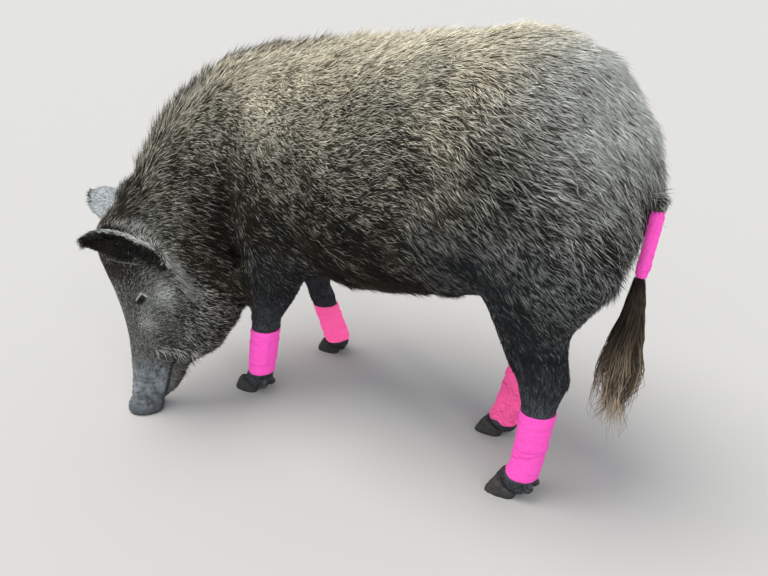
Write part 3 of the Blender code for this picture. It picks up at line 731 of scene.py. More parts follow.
def share_of_pale(at, marks):
    """How many of the tufts are pale, at each vertex. It runs over 1 where they are brightest too."""
    points, neck, ear, gap = at.points, at.neck, at.ear, at.off_crest
    _, _, height, _, y, z = at.measures
    head, leg, hollow, brow, blaze, eye_streak, far, tip = marks
    # Paler up the back and darker towards the belly: partly the coat's own grizzle, partly painted light from
    # above and painted shade underneath.
    pale = np.interp(z, (0.28, 0.38, 0.48, 0.58, 0.68, 0.76), (0.0, 0.03, 0.24, 0.60, 0.98, 1.25))
    pale = pale + 0.30 * step(0.33, 0.44, y) * step(0.50, 0.66, z)
    pale = pale * (1 - neck) \
        + neck * np.interp(gap, (0.0, 0.06, 0.13, 0.22, 0.32), (0.92, 1.00, 0.72, 0.24, 0.04))
    for along, tall, reach, more in PATCHES:
        pale = pale + more * bell(np.hypot(y - along, z - tall), reach)
    crest = bell(gap, 0.042) * step(-0.06, -0.20, y) * (1 - head)
    pale = pale * (1 - 0.85 * crest)
    pale = pale * (1 - leg) + leg * np.interp(z, (0.22, 0.32, 0.45, 0.55), (0.05, 0.22, 0.62, 0.85))
    # Painted shade in the groin's fold: fewer pale tufts there.
    groin_shade = bell(from_line(np.stack((y, z), 1), GROIN)[0], 0.034)
    pale = (pale + 0.16 * leg * bell(np.hypot(y - 0.43, z - 0.43), 0.06)) * (1 - 0.80 * groin_shade)
    cheek = np.interp(height, (0.10, 0.20, 0.30, 0.36, 0.44), (0.38, 0.44, 0.56, 0.54, 0.66))
    cheek = cheek * (1 - 0.80 * brow) * (1 - 0.5 * eye_streak) + 0.65 * blaze
    pale = pale * (1 - head) + cheek * head
    pale = pale * (1 - ear) + 0.80 * ear
    pale = pale * (1 - 0.8 * ear * tip)
    pale = pale + 0.9 * at.ear_marks[1] * (1 - ear * tip)
    # Painted shade in the ear hollows: almost no pale tufts there.
    pale = pale * (1 - hollow) + 0.02 * hollow
    pale = pale + 0.4 * far
    patchy = sum(much * wander(points, size, seed)
                 for much, size, seed in ((0.07, 0.16, 31), (0.08, 0.05, 32), (0.09, 0.024, 37)))
    return np.clip(pale + patchy * (1 - hollow) * (1 - 0.7 * leg), 0.0, 1.35)


def tuft_tones(at, marks, pale):
    """The colours of a dark tuft and of a pale one, at each vertex."""
    points, ear = at.points, at.ear
    _, ahead, _, _, y, z = at.measures
    head, leg, hollow, brow, blaze, _, far, _ = marks
    warm = step(0.58, 0.74, z - 0.06 * step(-0.05, 0.12, y)) * (1 - leg) * step(0.42, 0.25, y) * (1 - head)
    rusty = 0.15 + 0.5 * step(0.44, 0.32, z) + 0.40 * wander(points, 0.09, 34)
    smooth_face = head * step(-0.13, -0.08, ahead)
    dark = layered(
        DARK, (BROWN, np.clip(rusty, 0, 1)),
        (DUN, 0.75 * np.clip(pale - 0.55, 0, 0.8) * (1 - head) * (1 - ear)),
        (np.array(FACE) * 0.30, 0.65 * smooth_face * (1 - brow)), (BROWN, 0.7 * head * brow),
        (mixed(BLUE_BLACK, HOCK_SHEEN, 0.5 * step(0.31, 0.21, z)), leg),
        # The ear hollows' tufts turn near-black with painted shade.
        (np.array(FROST) * 0.4, 0.8 * far), (PAINTED_SHADE, hollow))
    light = layered(
        GREY, (SAND, np.clip(warm + 0.25 * wander(points, 0.2, 33), 0, 1)),
        (SILVER, np.clip(0.6 * head + 0.8 * ear + 0.5 * leg, 0, 1)),
        (SILVER, 0.8 * step(0.22, 0.40, y) * (1 - head)))
    # Pale tufts dimmer where fewer are pale, as low on the body: partly their own tone, partly painted shade.
    light = light * ((0.44 + 0.68 * pale) * (1 - head) + (1.0 + 0.5 * blaze) * head)[:, None]
    light = light * (1 - 0.40 * leg - 0.22 * smooth_face * (1 - blaze))[:, None]
    return dark, mixed(light, FROST, far)


def hide_tones(at, marks, pale):
    """The hide's colour and how bare and damp it is, at each vertex."""
    points, ear = at.points, at.ear
    _, ahead, height, side, _, z = at.measures
    head, leg, hollow, brow, blaze, eye_streak, far, _ = marks
    bare = np.clip(head * step(0.165, 0.095, height) * step(-0.08, -0.045, ahead)
                   + at.snout, 0, 1)
    tint = np.clip(0.42 + 0.30 * wander(points * (1, 1, 0.45), 0.022, 35) + 0.24 * wander(points, 0.011, 36)
                   + 0.5 * step(0.075, 0.03, height) - 0.3 * step(0.12, 0.155, height), 0, 1)
    mouth_groove_shade = bell(from_line(at.profile, MOUTH)[0], 0.0035)
    hide = layered(
        HIDE,
        (FACE, head * (1 - 0.85 * brow) * step(0.42, 0.34, height) * step(-0.17, -0.11, ahead)),
        (BLAZE, 0.6 * blaze), (DARK, 0.6 * eye_streak * head),
        (UNDERCOAT, np.clip(0.85 * pale, 0, 1) * (1 - head) * (1 - ear) * (1 - leg)),
        (mixed(BLUE_BLACK, HOCK_SHEEN, step(0.30, 0.20, z)), leg), (FROST, 0.7 * far),
        (mixed(MUZZLE, LEATHER, tint), bare), (LEATHER, at.snout),
        # Painted shade: a dark line where the snout's disc meets the floor, in the mouth's groove, and in the
        # ear hollows.
        (PAINTED_SHADE, 0.85 * at.snout * step(0.0045, 0.0015, height)),
        (PAINTED_SHADE, 0.8 * head * mouth_groove_shade * step(0.012, 0.02, side)), (PAINTED_SHADE, hollow))
    for off_eye, a, b in round_eyes(points):
        near = off_eye < 0.03
        upper_lid_highlight = bell(b - 0.0074 + 0.018 * np.abs(a - 0.006) ** 0.8, 0.0017) * step(-0.014, -0.006, a) \
            * step(0.018, 0.012, a)
        corner = bell(a - 0.0145, 0.0016) * step(0.006, 0.001, b) * step(-0.009, -0.003, b)
        # Round each eye: painted shade at the opening's edge, the pale lid with a painted highlight along its
        # upper fold and outer corner, and a pale spot below.
        hide = layered(
            hide, (PAINTED_SHADE, 0.95 * step(0.0098, 0.0066, np.hypot(a / 1.9, b)) * near),
            (LID_AND_HIGHLIGHT, 0.9 * np.clip(np.maximum(upper_lid_highlight, corner), 0, 1) * near),
            (BLAZE, 0.5 * bell(np.hypot(a / 1.5, b + 0.020), 0.005) * near))
    return mixed(hide, BLAZE, 0.28 * at.ear_marks[3]), bare


# ---------------------------------------------------------------- tufts

Roots = namedtuple("Roots", "point normal lie length width lift dark light pale spot piece")


def mesh_of(name, points, triangles):
    """An object of these points and triangles."""
    mesh = bpy.data.meshes.new(name)
    mesh.vertices.add(len(points))
    mesh.vertices.foreach_set("co", points.astype(np.float32).ravel())
    mesh.loops.add(triangles.size)
    mesh.loops.foreach_set("vertex_index", triangles.astype(np.int32).ravel())
    mesh.polygons.add(len(triangles))
    mesh.polygons.foreach_set("loop_start", np.arange(0, triangles.size, 3, dtype=np.int32))
    mesh.update(calc_edges=True)
    mesh.shade_smooth()
    made = bpy.data.objects.new(name, mesh)
    bpy.context.scene.collection.objects.link(made)
    return made


def keep_colour(thing, name, colours):
    """A colour at each vertex, for the materials to read."""
    rgba = np.ones((len(colours), 4), np.float32)
    rgba[:, :3] = np.clip(colours, 0, 1)
    thing.data.attributes.new(name, "FLOAT_COLOR", "POINT").data.foreach_set("color", rgba.ravel())


def keep_number(thing, name, values):
    """A number at each vertex, for the materials to read."""
    thing.data.attributes.new(name, "FLOAT", "POINT").data.foreach_set("value", values.astype(np.float32))


def keep_map(thing, name, places):
    """A UV map from a place for each vertex."""
    corners = numbers(thing.data.loops, "vertex_index", 1, np.int32)
    layer = thing.data.uv_layers.new(name=name)
    layer.data.foreach_set("uv", places[corners].astype(np.float32).ravel())


def map_of(thing):
    """The mesh's first UV map, a place for each corner."""
    return numbers(thing.data.uv_layers.active.data, "uv", 2)


def spindles(stations, sides, uppers, widths, colours, spots, name):
    """Closed, tapered tufts through rows of stations. Each station but the first and last is a ring
    of three corners; colours has one row for each station too."""
    count, rings = len(stations[0]), len(stations) - 2
    points, tones, places = [stations[0]], [colours[0]], [spots - (0, PATCH)]
    for number in range(rings):
        centre, width = stations[number + 1], widths[number][:, None]
        height = (number + 1) / (rings + 1) * 2 - 1
        for across, up, shift in ((0.5, -0.12, PATCH), (-0.5, -0.12, -PATCH), (0, 0.30, 0)):
            points.append(centre + sides * width * across + uppers * width * up)
            tones.append(colours[number + 1])
            places.append(spots + (shift, PATCH * height))
    points.append(stations[-1])
    tones.append(colours[-1])
    places.append(spots + (0, PATCH))
    each = len(points)
    faces = []
    for corner in range(3):
        after = (corner + 1) % 3
        faces.append((0, 1 + after, 1 + corner))
        for ring in range(rings - 1):
            a, b = 1 + 3 * ring + corner, 1 + 3 * ring + after
            faces += [(a, b, b + 3), (a, b + 3, a + 3)]
        last = 1 + 3 * (rings - 1)
        faces.append((each - 1, last + corner, last + after))
    starts = np.arange(count, dtype=np.int32)[:, None, None] * each
    triangles = (starts + np.array(faces, np.int32)[None]).reshape(-1, 3)
    made = mesh_of(name, np.stack(points, 1).reshape(-1, 3), triangles)
    keep_colour(made, "coat", np.stack(tones, 1).reshape(-1, 3))
    keep_map(made, "OFBake", np.stack(places, 1).reshape(-1, 2))
    return made


def scatter(skin, crowd, random):
    """Even-handed random places on the skin: each one's triangle and its corners' weights."""
    skin.data.calc_loop_triangles()
    triangles = numbers(skin.data.loop_triangles, "vertices", 3, np.int32)
    areas = numbers(skin.data.loop_triangles, "area").astype(float)
    wanted = np.cumsum(areas * crowd[triangles].mean(1))
    marks = np.arange(int(wanted[-1])) + random.random(int(wanted[-1]))
    chosen = np.searchsorted(wanted, np.minimum(marks, wanted[-1] * 0.999999))
    weights = random.dirichlet((1, 1, 1), len(chosen))
    return chosen, triangles[chosen], weights


def on_dewclaws(points):
    """True where the skin runs inside the bare part of a dewclaw."""
    covered = np.zeros(len(points), bool)
    for node in DEWCLAWS:
        low, high = tucked(np.array(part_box(node)), [node])
        high[2] = low[2] + (high[2] - low[2]) * DEWCLAW_BARE
        covered |= ((points > low - 0.002) & (points < high + (0.002, 0.002, 0))).all(1)
    return covered


def roots_on(skin):
    """The coat's roots, with all that a tuft needs to know."""
    random = np.random.default_rng(7)
    web = Web(skin)
    shares = web.even(shares_of(skin, web), 4)
    wide = [GROUPS.index(group) for group in ("leg", "head", "neck", "trunk")]
    soft = web.even(shares[:, wide], 45)
    shares[:, wide] = soft * (shares[:, wide].sum(1) / np.maximum(soft.sum(1), 1e-6))[:, None]
    points, normals = points_of(skin), unit(web.even(normals_of(skin), 2))
    at = Places(points, normals, shares)
    marks = marks_of(at)
    pale = share_of_pale(at, marks)
    dark, light = tuft_tones(at, marks, pale)
    hide, damp = hide_tones(at, marks, pale)
    keep_colour(skin, "hide", hide)
    keep_number(skin, "damp", damp)
    lie = lie_of(at, web)
    length, width, lift, crowd = shape_of_coat(at)
    faces, corners, weights = scatter(skin, crowd, random)

    def there(values, places=corners):
        """What is held at the corners of each root's triangle, at the root."""
        return (values[places] * weights.reshape(len(weights), 3, *(1,) * (values.ndim - 1))).sum(1)

    loops = numbers(skin.data.loop_triangles, "loops", 3, np.int32)[faces]
    spot = there(map_of(skin), loops)
    place = there(points)
    x, y, z = (place - SHIFT).T
    facing = unit(there(normals))
    group = np.array(GROUPS)[shares[corners[:, 0]].argmax(1)]
    head, leg, neck = group == "head", group == "leg", group == "neck"
    kinds = {
        "ears": group == "ear", "head_left": head & (on_head(place)[0] > 0), "head_right": head,
        "feet": (group == "foot") | (group == "tail"),
        "forelegs": leg & (y < 0), "hindleg_left": leg & (x > 0), "hindleg_right": leg,
        "neck_left": neck & (place @ LEFT > SNOUT @ LEFT - 0.06), "neck_right": neck,
        "belly": facing[:, 2] < -0.45, "rump": y > 0.26,
        "flank_left": (x > 0) & (z < 0.66), "flank_right": z < 0.66,
    }
    piece = np.select(list(kinds.values()), list(kinds), "back")
    keep = ~under_wraps(place, 0.004) & ~on_dewclaws(place)
    every = Roots(place, facing, unit(there(lie)),
                  *map(there, (length, width, lift, dark, light, pale)), spot, piece)
    return Roots(*(values[keep] for values in every))


def grow_coat(skin):
    """All the coat's pieces."""
    roots = roots_on(skin)
    random = np.random.default_rng(11)
    count = len(roots.point)
    swing = np.radians(13 * random.normal(size=count)
                       + 8 * wander(roots.point, 0.060, 41) + 6 * wander(roots.point, 0.018, 42))
    across = np.cross(roots.normal, roots.lie)
    lie = roots.lie * np.cos(swing)[:, None] + across * np.sin(swing)[:, None]
    lift = np.radians(np.clip(roots.lift * (1 + 0.30 * random.normal(size=count)), 3, 75))
    length = roots.length * random.uniform(0.68, 1.22, count)
    width = roots.width * random.uniform(0.70, 1.15, count)

    def way(angle):
        """The direction at this angle off the skin."""
        return lie * np.cos(angle)[:, None] + roots.normal * np.sin(angle)[:, None]

    start = roots.point - (ROOT_DEPTH + ROOT_SHARE * length)[:, None] * roots.normal
    elbow = start + way(lift) * (RING_PLACE * length)[:, None]
    tip = elbow + way(lift * 0.62) * ((1 - RING_PLACE) * length)[:, None]
    sides = unit(np.cross(roots.normal, lie))
    uppers = unit(np.cross(way(lift), sides))
    is_pale = (random.random(count) < 0.75 * roots.pale ** 0.9)[:, None]
    glint = random.uniform(0.50, 1.25, count)[:, None]
    dark = roots.dark * random.uniform(0.6, 1.8, count)[:, None]
    light = roots.light * glint
    tip_tone = np.where(is_pale, light * 1.1, dark * 1.6)
    root_tone = np.where(is_pale, mixed(dark * 0.5, light, np.full(count, 0.22)), dark * 0.6)
    elbow_tone = np.where(is_pale, mixed(dark, light, np.full(count, 0.88)), dark)
    pieces = []
    for name in sorted(set(roots.piece)):
        part = np.flatnonzero(roots.piece == name)
        assert len(part) * TUFT_TRIANGLES < MOST_TRIANGLES, (name, len(part))
        pieces.append(spindles(
            [start[part], elbow[part], tip[part]], sides[part], uppers[part], [width[part]],
            [root_tone[part], elbow_tone[part], tip_tone[part]], roots.spot[part], f"coat_{name}"))
    return pieces


# ---------------------------------------------------------------- tail, lashes, eyes, wraps, horn

LOCKS, BUNCHES, LOCK_RINGS, LOCK_WIDTH = 900, 46, 6, 0.0021
SWITCH_LEVELS = 8                           # the heights at which the switch's solid is measured
SWITCH_TOP, SWITCH_END = 0.0085, 0.030      # its radius under the wrap and at its lower end
BLOND = (0.46, 0.36, 0.25)


def nearest_spot(skin, points):
    """The skin's map at the vertex nearest each point."""
    on_skin = points_of(skin)
    corners = numbers(skin.data.loops, "vertex_index", 1, np.int32)
    first = np.zeros(len(on_skin), int)
    first[corners[::-1]] = np.arange(len(corners))[::-1]
    nearest = [int(((on_skin - point) ** 2).sum(1).argmin()) for point in points]
    return map_of(skin)[first[nearest]].astype(float)


def level_way(turn):
    """The level direction at each of these turns."""
    return np.stack((np.cos(turn), np.sin(turn), 0 * turn), 1)


def switch_shape():
    """The middle line and the radius of the switch's brush at each level, and its height."""
    solid = points_of(frame["nodes"]["tail_switch"])
    low, high = solid[:, 2].min(), solid[:, 2].max()
    levels = np.linspace(high, low, SWITCH_LEVELS + 1)
    spread = (high - low) / SWITCH_LEVELS
    centres, radii = [], []
    for level in levels:
        near = solid[np.abs(solid[:, 2] - level) < spread]
        centres.append(near.mean(0) * (1, 1, 0) + UP * level)
        radii.append(np.linalg.norm(near[:, :2] - near.mean(0)[:2], axis=1).mean())
    centres, radii = np.array(centres), np.array(radii)
    radii[0], radii[-1] = SWITCH_TOP, SWITCH_END
    radii[5:] *= 1.15
    centres[5:, 1] += np.linspace(0.003, 0.012, SWITCH_LEVELS - 4)
    return centres, radii, high - low


def grow_switch(skin):
    """The long hair at the tail's end: a hanging brush of tapered locks."""
    random = np.random.default_rng(17)
    centres, radii, tall = switch_shape()
    marks = np.arange(SWITCH_LEVELS + 1)
    bunch = random.integers(0, BUNCHES, LOCKS)

    def by_bunch(values, stray):
        """Each lock's own number, which strays a little from its bunch's."""
        return values[bunch] + random.normal(0, stray, LOCKS)

    place = np.clip(np.sqrt(by_bunch(random.uniform(0.04, 1, BUNCHES), 0.10).clip(0.01)), 0.05, 1.02)
    turn = by_bunch(random.uniform(0, 2 * math.pi, BUNCHES), 0.28)
    reach = np.clip(by_bunch(random.uniform(0.55, 1.0, BUNCHES), 0.12), 0.25, 1.02)
    wisp = by_bunch(random.random(BUNCHES), 0.10) < 0.20
    reach = np.where(wisp, random.uniform(0.95, 1.14, LOCKS), reach)
    swirl = by_bunch(random.normal(0, 0.75, BUNCHES), 0.15)
    phase = by_bunch(random.uniform(0, 6.3, BUNCHES), 0.45)
    heading = by_bunch(random.uniform(0, 2 * math.pi, BUNCHES), 0.30)
    stations = []
    for number in range(LOCK_RINGS + 2):
        level = number / (LOCK_RINGS + 1) * reach
        centre = np.stack([np.interp(level * SWITCH_LEVELS, marks, row) for row in centres.T], 1)
        centre[:, 2] -= np.maximum(level - 1, 0) * tall
        radius = np.interp(level * SWITCH_LEVELS, marks, radii) * place
        sway = (0.0010 + (0.0130 + 0.0100 * wisp) * level ** 1.4) * np.sin(level * 12 + phase)
        wave = sway[:, None] * np.stack((np.sin(heading), np.cos(heading), 0 * turn), 1)
        stations.append(centre + level_way(turn + swirl * level) * radius[:, None] + wave)
    stations[0][:, 2] += 0.008
    sides = np.stack((-np.sin(turn), np.cos(turn), 0 * turn), 1)
    thickness = random.uniform(0.7, 1.2, LOCKS) * LOCK_WIDTH
    widths = [thickness * part for part in (0.7, 0.95, 1.0, 0.9, 0.75, 0.45)]
    dark = np.array(BROWN) * random.uniform(0.6, 2.2, LOCKS)[:, None]
    blond = np.array(BLOND) * random.uniform(0.6, 1.2, LOCKS)[:, None]
    fair = (wisp | (by_bunch(random.random(BUNCHES), 0.18) < 0.42))[:, None]
    tones = []
    for number in range(LOCK_RINGS + 2):
        level = (number / (LOCK_RINGS + 1) * reach)[:, None]
        tones.append(mixed(dark, blond, (step(0.30, 0.85, level) * (0.10 + 0.90 * fair))[:, 0]))
    spots = nearest_spot(skin, stations[0][:1]).repeat(LOCKS, 0) \
        + random.uniform(-0.004, 0.004, (LOCKS, 2))
    return spindles(stations, sides, level_way(turn), widths, tones, spots, "coat_switch")


def lashes(random):
    """The upper lids' lashes: roots, directions, lengths."""
    starts, ways, lengths = [], [], []
    for side in (1, -1):
        eye, out, along, across = eye_axes(side)
        for mark in np.linspace(-0.80, 0.85, LASHES):
            angle_a = mark * EYE_LENGTH
            angle_b = EYE_HEIGHT * (1 - mark ** 2) + 0.07
            way = unit(out * math.cos(angle_a) * math.cos(angle_b) + along * math.sin(angle_a)
                       + across * math.sin(angle_b))
            starts.append(eye + way * (LID_RADIUS - 0.0008))
            ways.append(unit(0.75 * out + 0.55 * across + 0.35 * mark * along
                             + 0.08 * random.normal(size=3)))
            lengths.append(random.uniform(0.008, 0.013))
    return np.array(starts), np.array(ways), np.array(lengths)


def grow_whiskers(skin):
    """Lashes, and the single hairs of the lips, the chin, the muzzle, the brows and the ears."""
    random = np.random.default_rng(23)
    points, normals = points_of(skin), normals_of(skin)
    out, ahead, height = on_head(points)
    side = np.abs(out)
    flat = np.stack((ahead, height), 1)
    on_lip = (from_line(flat, LIP)[0] < 0.008) & (side > 0.03) & (side < 0.12)
    on_chin = (height > 0.05) & (height < 0.13) & (ahead < -0.085) & (ahead > -0.17) & (side < 0.08)
    on_muzzle = (height > 0.05) & (height < 0.17) & (ahead > -0.06) & (side < 0.08)
    on_brow = np.zeros(len(points), bool)
    for off_eye, _, b in round_eyes(points):
        on_brow |= (off_eye < 0.032) & (b > 0.014)
    ear_way = np.where(out[:, None] > 0, towards(0.45, 0.80, -0.10) @ AXES,
                       towards(-0.45, 0.80, -0.10) @ AXES)
    on_edge = (off_ear_tips(points) < 0.036) & ((normals * ear_way).sum(1) > 0.30)
    in_hollow = ear_marks(points, normals)[0] > 0.6
    # A bundle: where it grows, how many hairs, the way they point (out, ahead, up), how much they
    # stand off the skin and stray, their shortest and longest, their width and their colour.
    bundles = (
        (on_lip, 200, (0.25, -0.85, -0.20), 0.45, 0.38, 0.014, 0.040, 0.0011, (0.52, 0.51, 0.46)),
        (on_lip, 60, (0.30, -0.60, -0.60), 0.40, 0.35, 0.012, 0.030, 0.0009, (0.05, 0.045, 0.04)),
        (on_chin, 110, (0.20, -0.40, -0.60), 0.45, 0.25, 0.008, 0.022, 0.0009, (0.16, 0.14, 0.11)),
        (on_muzzle, 90, (0.30, 0.10, 0.60), 0.45, 0.25, 0.005, 0.011, 0.0007, (0.045, 0.042, 0.04)),
        (on_brow, 44, (0.30, 0.10, 0.80), 0.60, 0.22, 0.012, 0.026, 0.0008, (0.03, 0.028, 0.026)),
        (on_edge, 520, (0.45, 0.70, -0.25), 0.55, 0.30, 0.006, 0.014, 0.0010, (0.022, 0.019, 0.018)),
        (in_hollow, 90, (0.60, 0.45, 0.25), 0.25, 0.30, 0.008, 0.018, 0.0009, (0.085, 0.068, 0.045)),
    )
    starts, ways, lengths = lashes(random)
    widths = np.full(len(starts), 0.0006)
    tones = np.full((len(starts), 3), 0.011)
    for where, count, aim, lift, stray, shortest, longest, width, tone in bundles:
        chosen = random.choice(np.flatnonzero(where), count)
        aims = np.array(aim) * np.stack((np.sign(out[chosen]), np.ones(count), np.ones(count)), 1)
        way = aims @ AXES + lift * normals[chosen] + stray * random.normal(size=(count, 3))
        starts = np.concatenate((starts, points[chosen] - 0.0005 * normals[chosen]
                                 + 0.0012 * random.normal(size=(count, 3))))
        ways = np.concatenate((ways, unit(way)))
        lengths = np.append(lengths, random.uniform(shortest, longest, count))
        widths = np.append(widths, width * random.uniform(0.7, 1.1, count))
        tones = np.concatenate((tones, np.array(tone) * random.uniform(0.6, 1.4, count)[:, None]))
    sides = unit(np.cross(ways, UP))
    uppers = np.cross(sides, ways)
    stations = [starts]
    for droop in (0.0, 0.16, 0.34):
        stations.append(stations[-1] + unit(ways - droop * UP) * (lengths / 3)[:, None])
    return spindles(stations, sides, uppers, [widths, widths * 0.8], [tones] * 4,
                    nearest_spot(skin, starts), "coat_whiskers")


def make_eye(side):
    """An eyeball with its cornea, pointing out of the head."""
    turn = 1 if side == "left" else -1
    eye, out, along, across = eye_axes(turn)
    facing = Vector(out).to_track_quat("Z", "Y").to_euler()
    bpy.ops.mesh.primitive_uv_sphere_add(segments=48, ring_count=32, radius=EYE_RADIUS,
                                         location=Vector(eye), rotation=facing)
    ball = bpy.context.active_object
    ball.name = f"eyeball_{side}"
    bpy.ops.object.transform_apply()
    points = points_of(ball)
    away = points - eye
    angle = np.arccos(np.clip(unit(away) @ out, -1, 1))
    points += out * (CORNEA * bell(angle, 0.42))[:, None]
    move_to(ball, points)
    keep_number(ball, "from_axis", angle)
    long, high = unit(away) @ along, unit(away) @ across
    keep_number(ball, "pupil", np.hypot(long / 0.30, high / 0.17) + 10 * (angle > 1.2))
    ball.data.shade_smooth()
    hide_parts(f"eye_{side}")
    return ball


def sleeve(node):
    """A wrap's outer wall, as a function of the turn round the limb and the height, and its ends."""
    mesh = frame["nodes"][node].data
    tree = BVHTree.FromPolygons([v.co for v in mesh.vertices], [list(p.vertices) for p in mesh.polygons])
    solid = points_of(frame["nodes"][node])
    low, high = solid[:, 2].min(), solid[:, 2].max()
    top = solid[solid[:, 2] > high - 0.015].mean(0)
    bottom = solid[solid[:, 2] < low + 0.015].mean(0)
    levels = np.linspace(low + 0.006, high - 0.006, 12)
    turns = np.linspace(0, 2 * math.pi, 40, endpoint=False)
    middles, radii = [], []
    for level in levels:
        centre = bottom + (top - bottom) * ((level - low) / (high - low))
        for _ in range(2):
            hits = []
            for turn in turns:
                way = Vector((math.cos(turn), math.sin(turn), 0))
                heart = Vector((centre[0], centre[1], level))
                hit = tree.ray_cast(heart + way * 0.12, -way)[0]
                hits.append(hit if hit else heart + way * 0.03)
            hits = np.array(hits)
            centre = hits.mean(0)
        middles.append(centre)
        radii.append(np.fft.rfft(np.linalg.norm(hits[:, :2] - centre[:2], axis=1))[:5] / len(turns))
    middles, radii = np.array(middles), np.array(radii)

    def wall(turn, height):
        """Radius and middle at a turn and a height, both arrays."""
        radius = np.interp(height, levels, radii[:, 0].real)
        for wave in range(1, 5):
            real = np.interp(height, levels, radii[:, wave].real)
            other = np.interp(height, levels, radii[:, wave].imag)
            radius = radius + 2 * (real * np.cos(wave * turn) - other * np.sin(wave * turn))
        return radius, np.stack([np.interp(height, levels, middles[:, k]) for k in range(2)], -1)

    return wall, low, high


def relief_of(turn, z, layers, wrap):
    """How the wound cloth creases and crumples, in metres, and where painted shade runs along its fold lines
    and the tape's edges.
    """
    flat = np.stack((np.cos(turn) * 0.03, np.sin(turn) * 0.03, z), -1).reshape(-1, 3)

    def ripple(stretch, size, more):
        """A number that wanders over the cloth, with its own seed."""
        return wander(flat * (1, 1, stretch), size, wrap.seed + more).reshape(z.shape)

    fold, fine = ripple(2.6, 0.035, 0), ripple(3.4, 0.010, 1)
    ridges = np.maximum(bell(ripple(1.4, 0.048, 2), 0.35), bell(ripple(3.2, 0.060, 3), 0.30))
    # Painted shade along the tape's edges, where one turn lies on another.
    edges = 0.16 * np.clip(np.abs(np.gradient(layers, axis=1)) * 2.2, 0, 1)
    waves = z / 0.0135 + 1.1 * np.cos(turn + wrap.seed) + 0.75 * ripple(1, 0.045, 4)
    pinched = bell(np.sin(math.pi * waves), 0.42) * step(-0.4, 0.5, ripple(1, 0.040, 5))
    shade_lines = np.maximum(pinched * np.clip(wrap.crumple / CRUMPLE_DEEPEST, 0.06, 0.9), edges)
    relief = wrap.creases * (fold - 0.5 * np.abs(fold)) + 0.00022 * fine \
        + wrap.crumple * (ridges - 0.4 - 0.5 * shade_lines)
    return relief, shade_lines


def make_wrap(node):
    """A stretched tape wound round a limb in a rising spiral, each turn lying on the one before."""
    wrap = WRAPS[node]
    tape, rounds = wrap.tape, wrap.rounds
    wall, low, high = sleeve(node)
    high -= wrap.short
    steps, rows = int(rounds * TAPE_STEPS), TAPE_ROWS
    s = np.linspace(0, rounds, steps + 1)[:, None] * np.ones(rows + 1)
    t = np.ones(steps + 1)[:, None] * np.linspace(0, 1, rows + 1)

    def foot_of(turns):
        """The height of the tape's lower edge after so many turns."""
        return low + (high - low - tape) * step(1.0, rounds - 1.0, turns)

    z = foot_of(s) + t * tape
    layers = np.zeros_like(s)
    for before in range(1, int(rounds) + 1):
        earlier = s - before
        bottom = foot_of(np.maximum(earlier, 0))
        cover = step(-0.0012, 0.0008, z - bottom) * step(-0.0012, 0.0008, bottom + tape - z)
        layers += cover * (earlier > 0)
    turn = wrap.start + s * 2 * math.pi
    radius, middles = wall(turn, z)
    relief, fold_shade = relief_of(turn, z, layers, wrap)
    radius = radius - 0.0022 + 0.0009 * layers + relief - TAIL_SLIM * (node == "wrap_tail")
    radius -= 0.0010 * (bell(z - low, 0.003) + bell(high - z, 0.003))
    points = np.stack((middles[..., 0] + radius * np.cos(turn),
                       middles[..., 1] + radius * np.sin(turn), z), -1)
    index = np.arange((steps + 1) * (rows + 1)).reshape(steps + 1, rows + 1)
    quads = np.stack((index[:-1, :-1], index[1:, :-1], index[1:, 1:], index[:-1, 1:]), -1).reshape(-1, 4)
    triangles = np.concatenate((quads[:, (0, 1, 2)], quads[:, (0, 2, 3)]))
    made = mesh_of(node.replace("wrap_", "tape_"), points.reshape(-1, 3), triangles)
    mean = np.linalg.norm(np.diff(points[:, rows // 2], axis=0), axis=1).sum()
    keep_map(made, "Tape", np.stack((s / rounds * mean, t * tape), -1).reshape(-1, 2))
    # The painted shade of the fold lines and edges, for the cloth's material.
    keep_number(made, "crease", fold_shade.ravel())
    apply(made, "SOLIDIFY", thickness=WRAP_CLOTH, offset=-1.0, use_even_offset=False)
    made.data.shade_smooth()
    crepe(node.replace("wrap", "crepe"), wrap.dye, wrap.dirt, wrap.glow).cover(made)
    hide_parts(node)
    return made


def make_claw(node):
    """A hoof's claw or a dewclaw, with the rings that it grew in."""
    claw = copy_of(node.replace("hoof_", "claw_").replace("dewclaw_", "spur_"), [node])
    apply(claw, "REMESH", mode="VOXEL", voxel_size=HORN_VOXEL)
    web = Web(claw)
    points = points_of(claw)
    if node in DEWCLAWS:
        points = tucked(points, [node], 0.004)
    points = web.even(points, 3)
    move_to(claw, points)
    normals = normals_of(claw)
    low, high = points[:, 2].min(), points[:, 2].max()
    if node in DEWCLAWS:
        share_up = (points[:, 2] - low) / (high - low)
        axis = points.mean(0) * (1, 1, 0)
        narrow = (1 - 0.62 * step(DEWCLAW_BARE - 0.15, DEWCLAW_BARE + 0.2, share_up))[:, None]
        points = points * (0, 0, 1) + axis + (points * (1, 1, 0) - axis) * narrow
    rings = np.sin(points[:, 2] * 2 * math.pi / HORN_RING + 1.2 * wander(points, 0.03, 51))
    points = points + normals * (0.00022 * rings + 0.00035 * wander(points, 0.008, 52))[:, None]
    if node.startswith("hoof"):
        points[:, 2] = np.where(points[:, 2] < 0.0022, 0.0, points[:, 2])
    move_to(claw, points)
    claw.data.shade_smooth()
    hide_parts(node)
    return claw


# ---------------------------------------------------------------- materials

class Signal:
    """What a node gives. Arithmetic on it adds Math nodes."""

    def __init__(self, finish, socket):
        self.finish, self.socket = finish, socket

    def maths(self, operation, first, second):
        """A Math node on two numbers or signals."""
        return self.finish.node("ShaderNodeMath", {"operation": operation}, {0: first, 1: second})

    def __add__(self, other):
        return self.maths("ADD", self, other)

    def __sub__(self, other):
        return self.maths("SUBTRACT", self, other)

    def __rsub__(self, other):
        return self.maths("SUBTRACT", other, self)

    def __mul__(self, other):
        return self.maths("MULTIPLY", self, other)

    __radd__, __rmul__ = __add__, __mul__


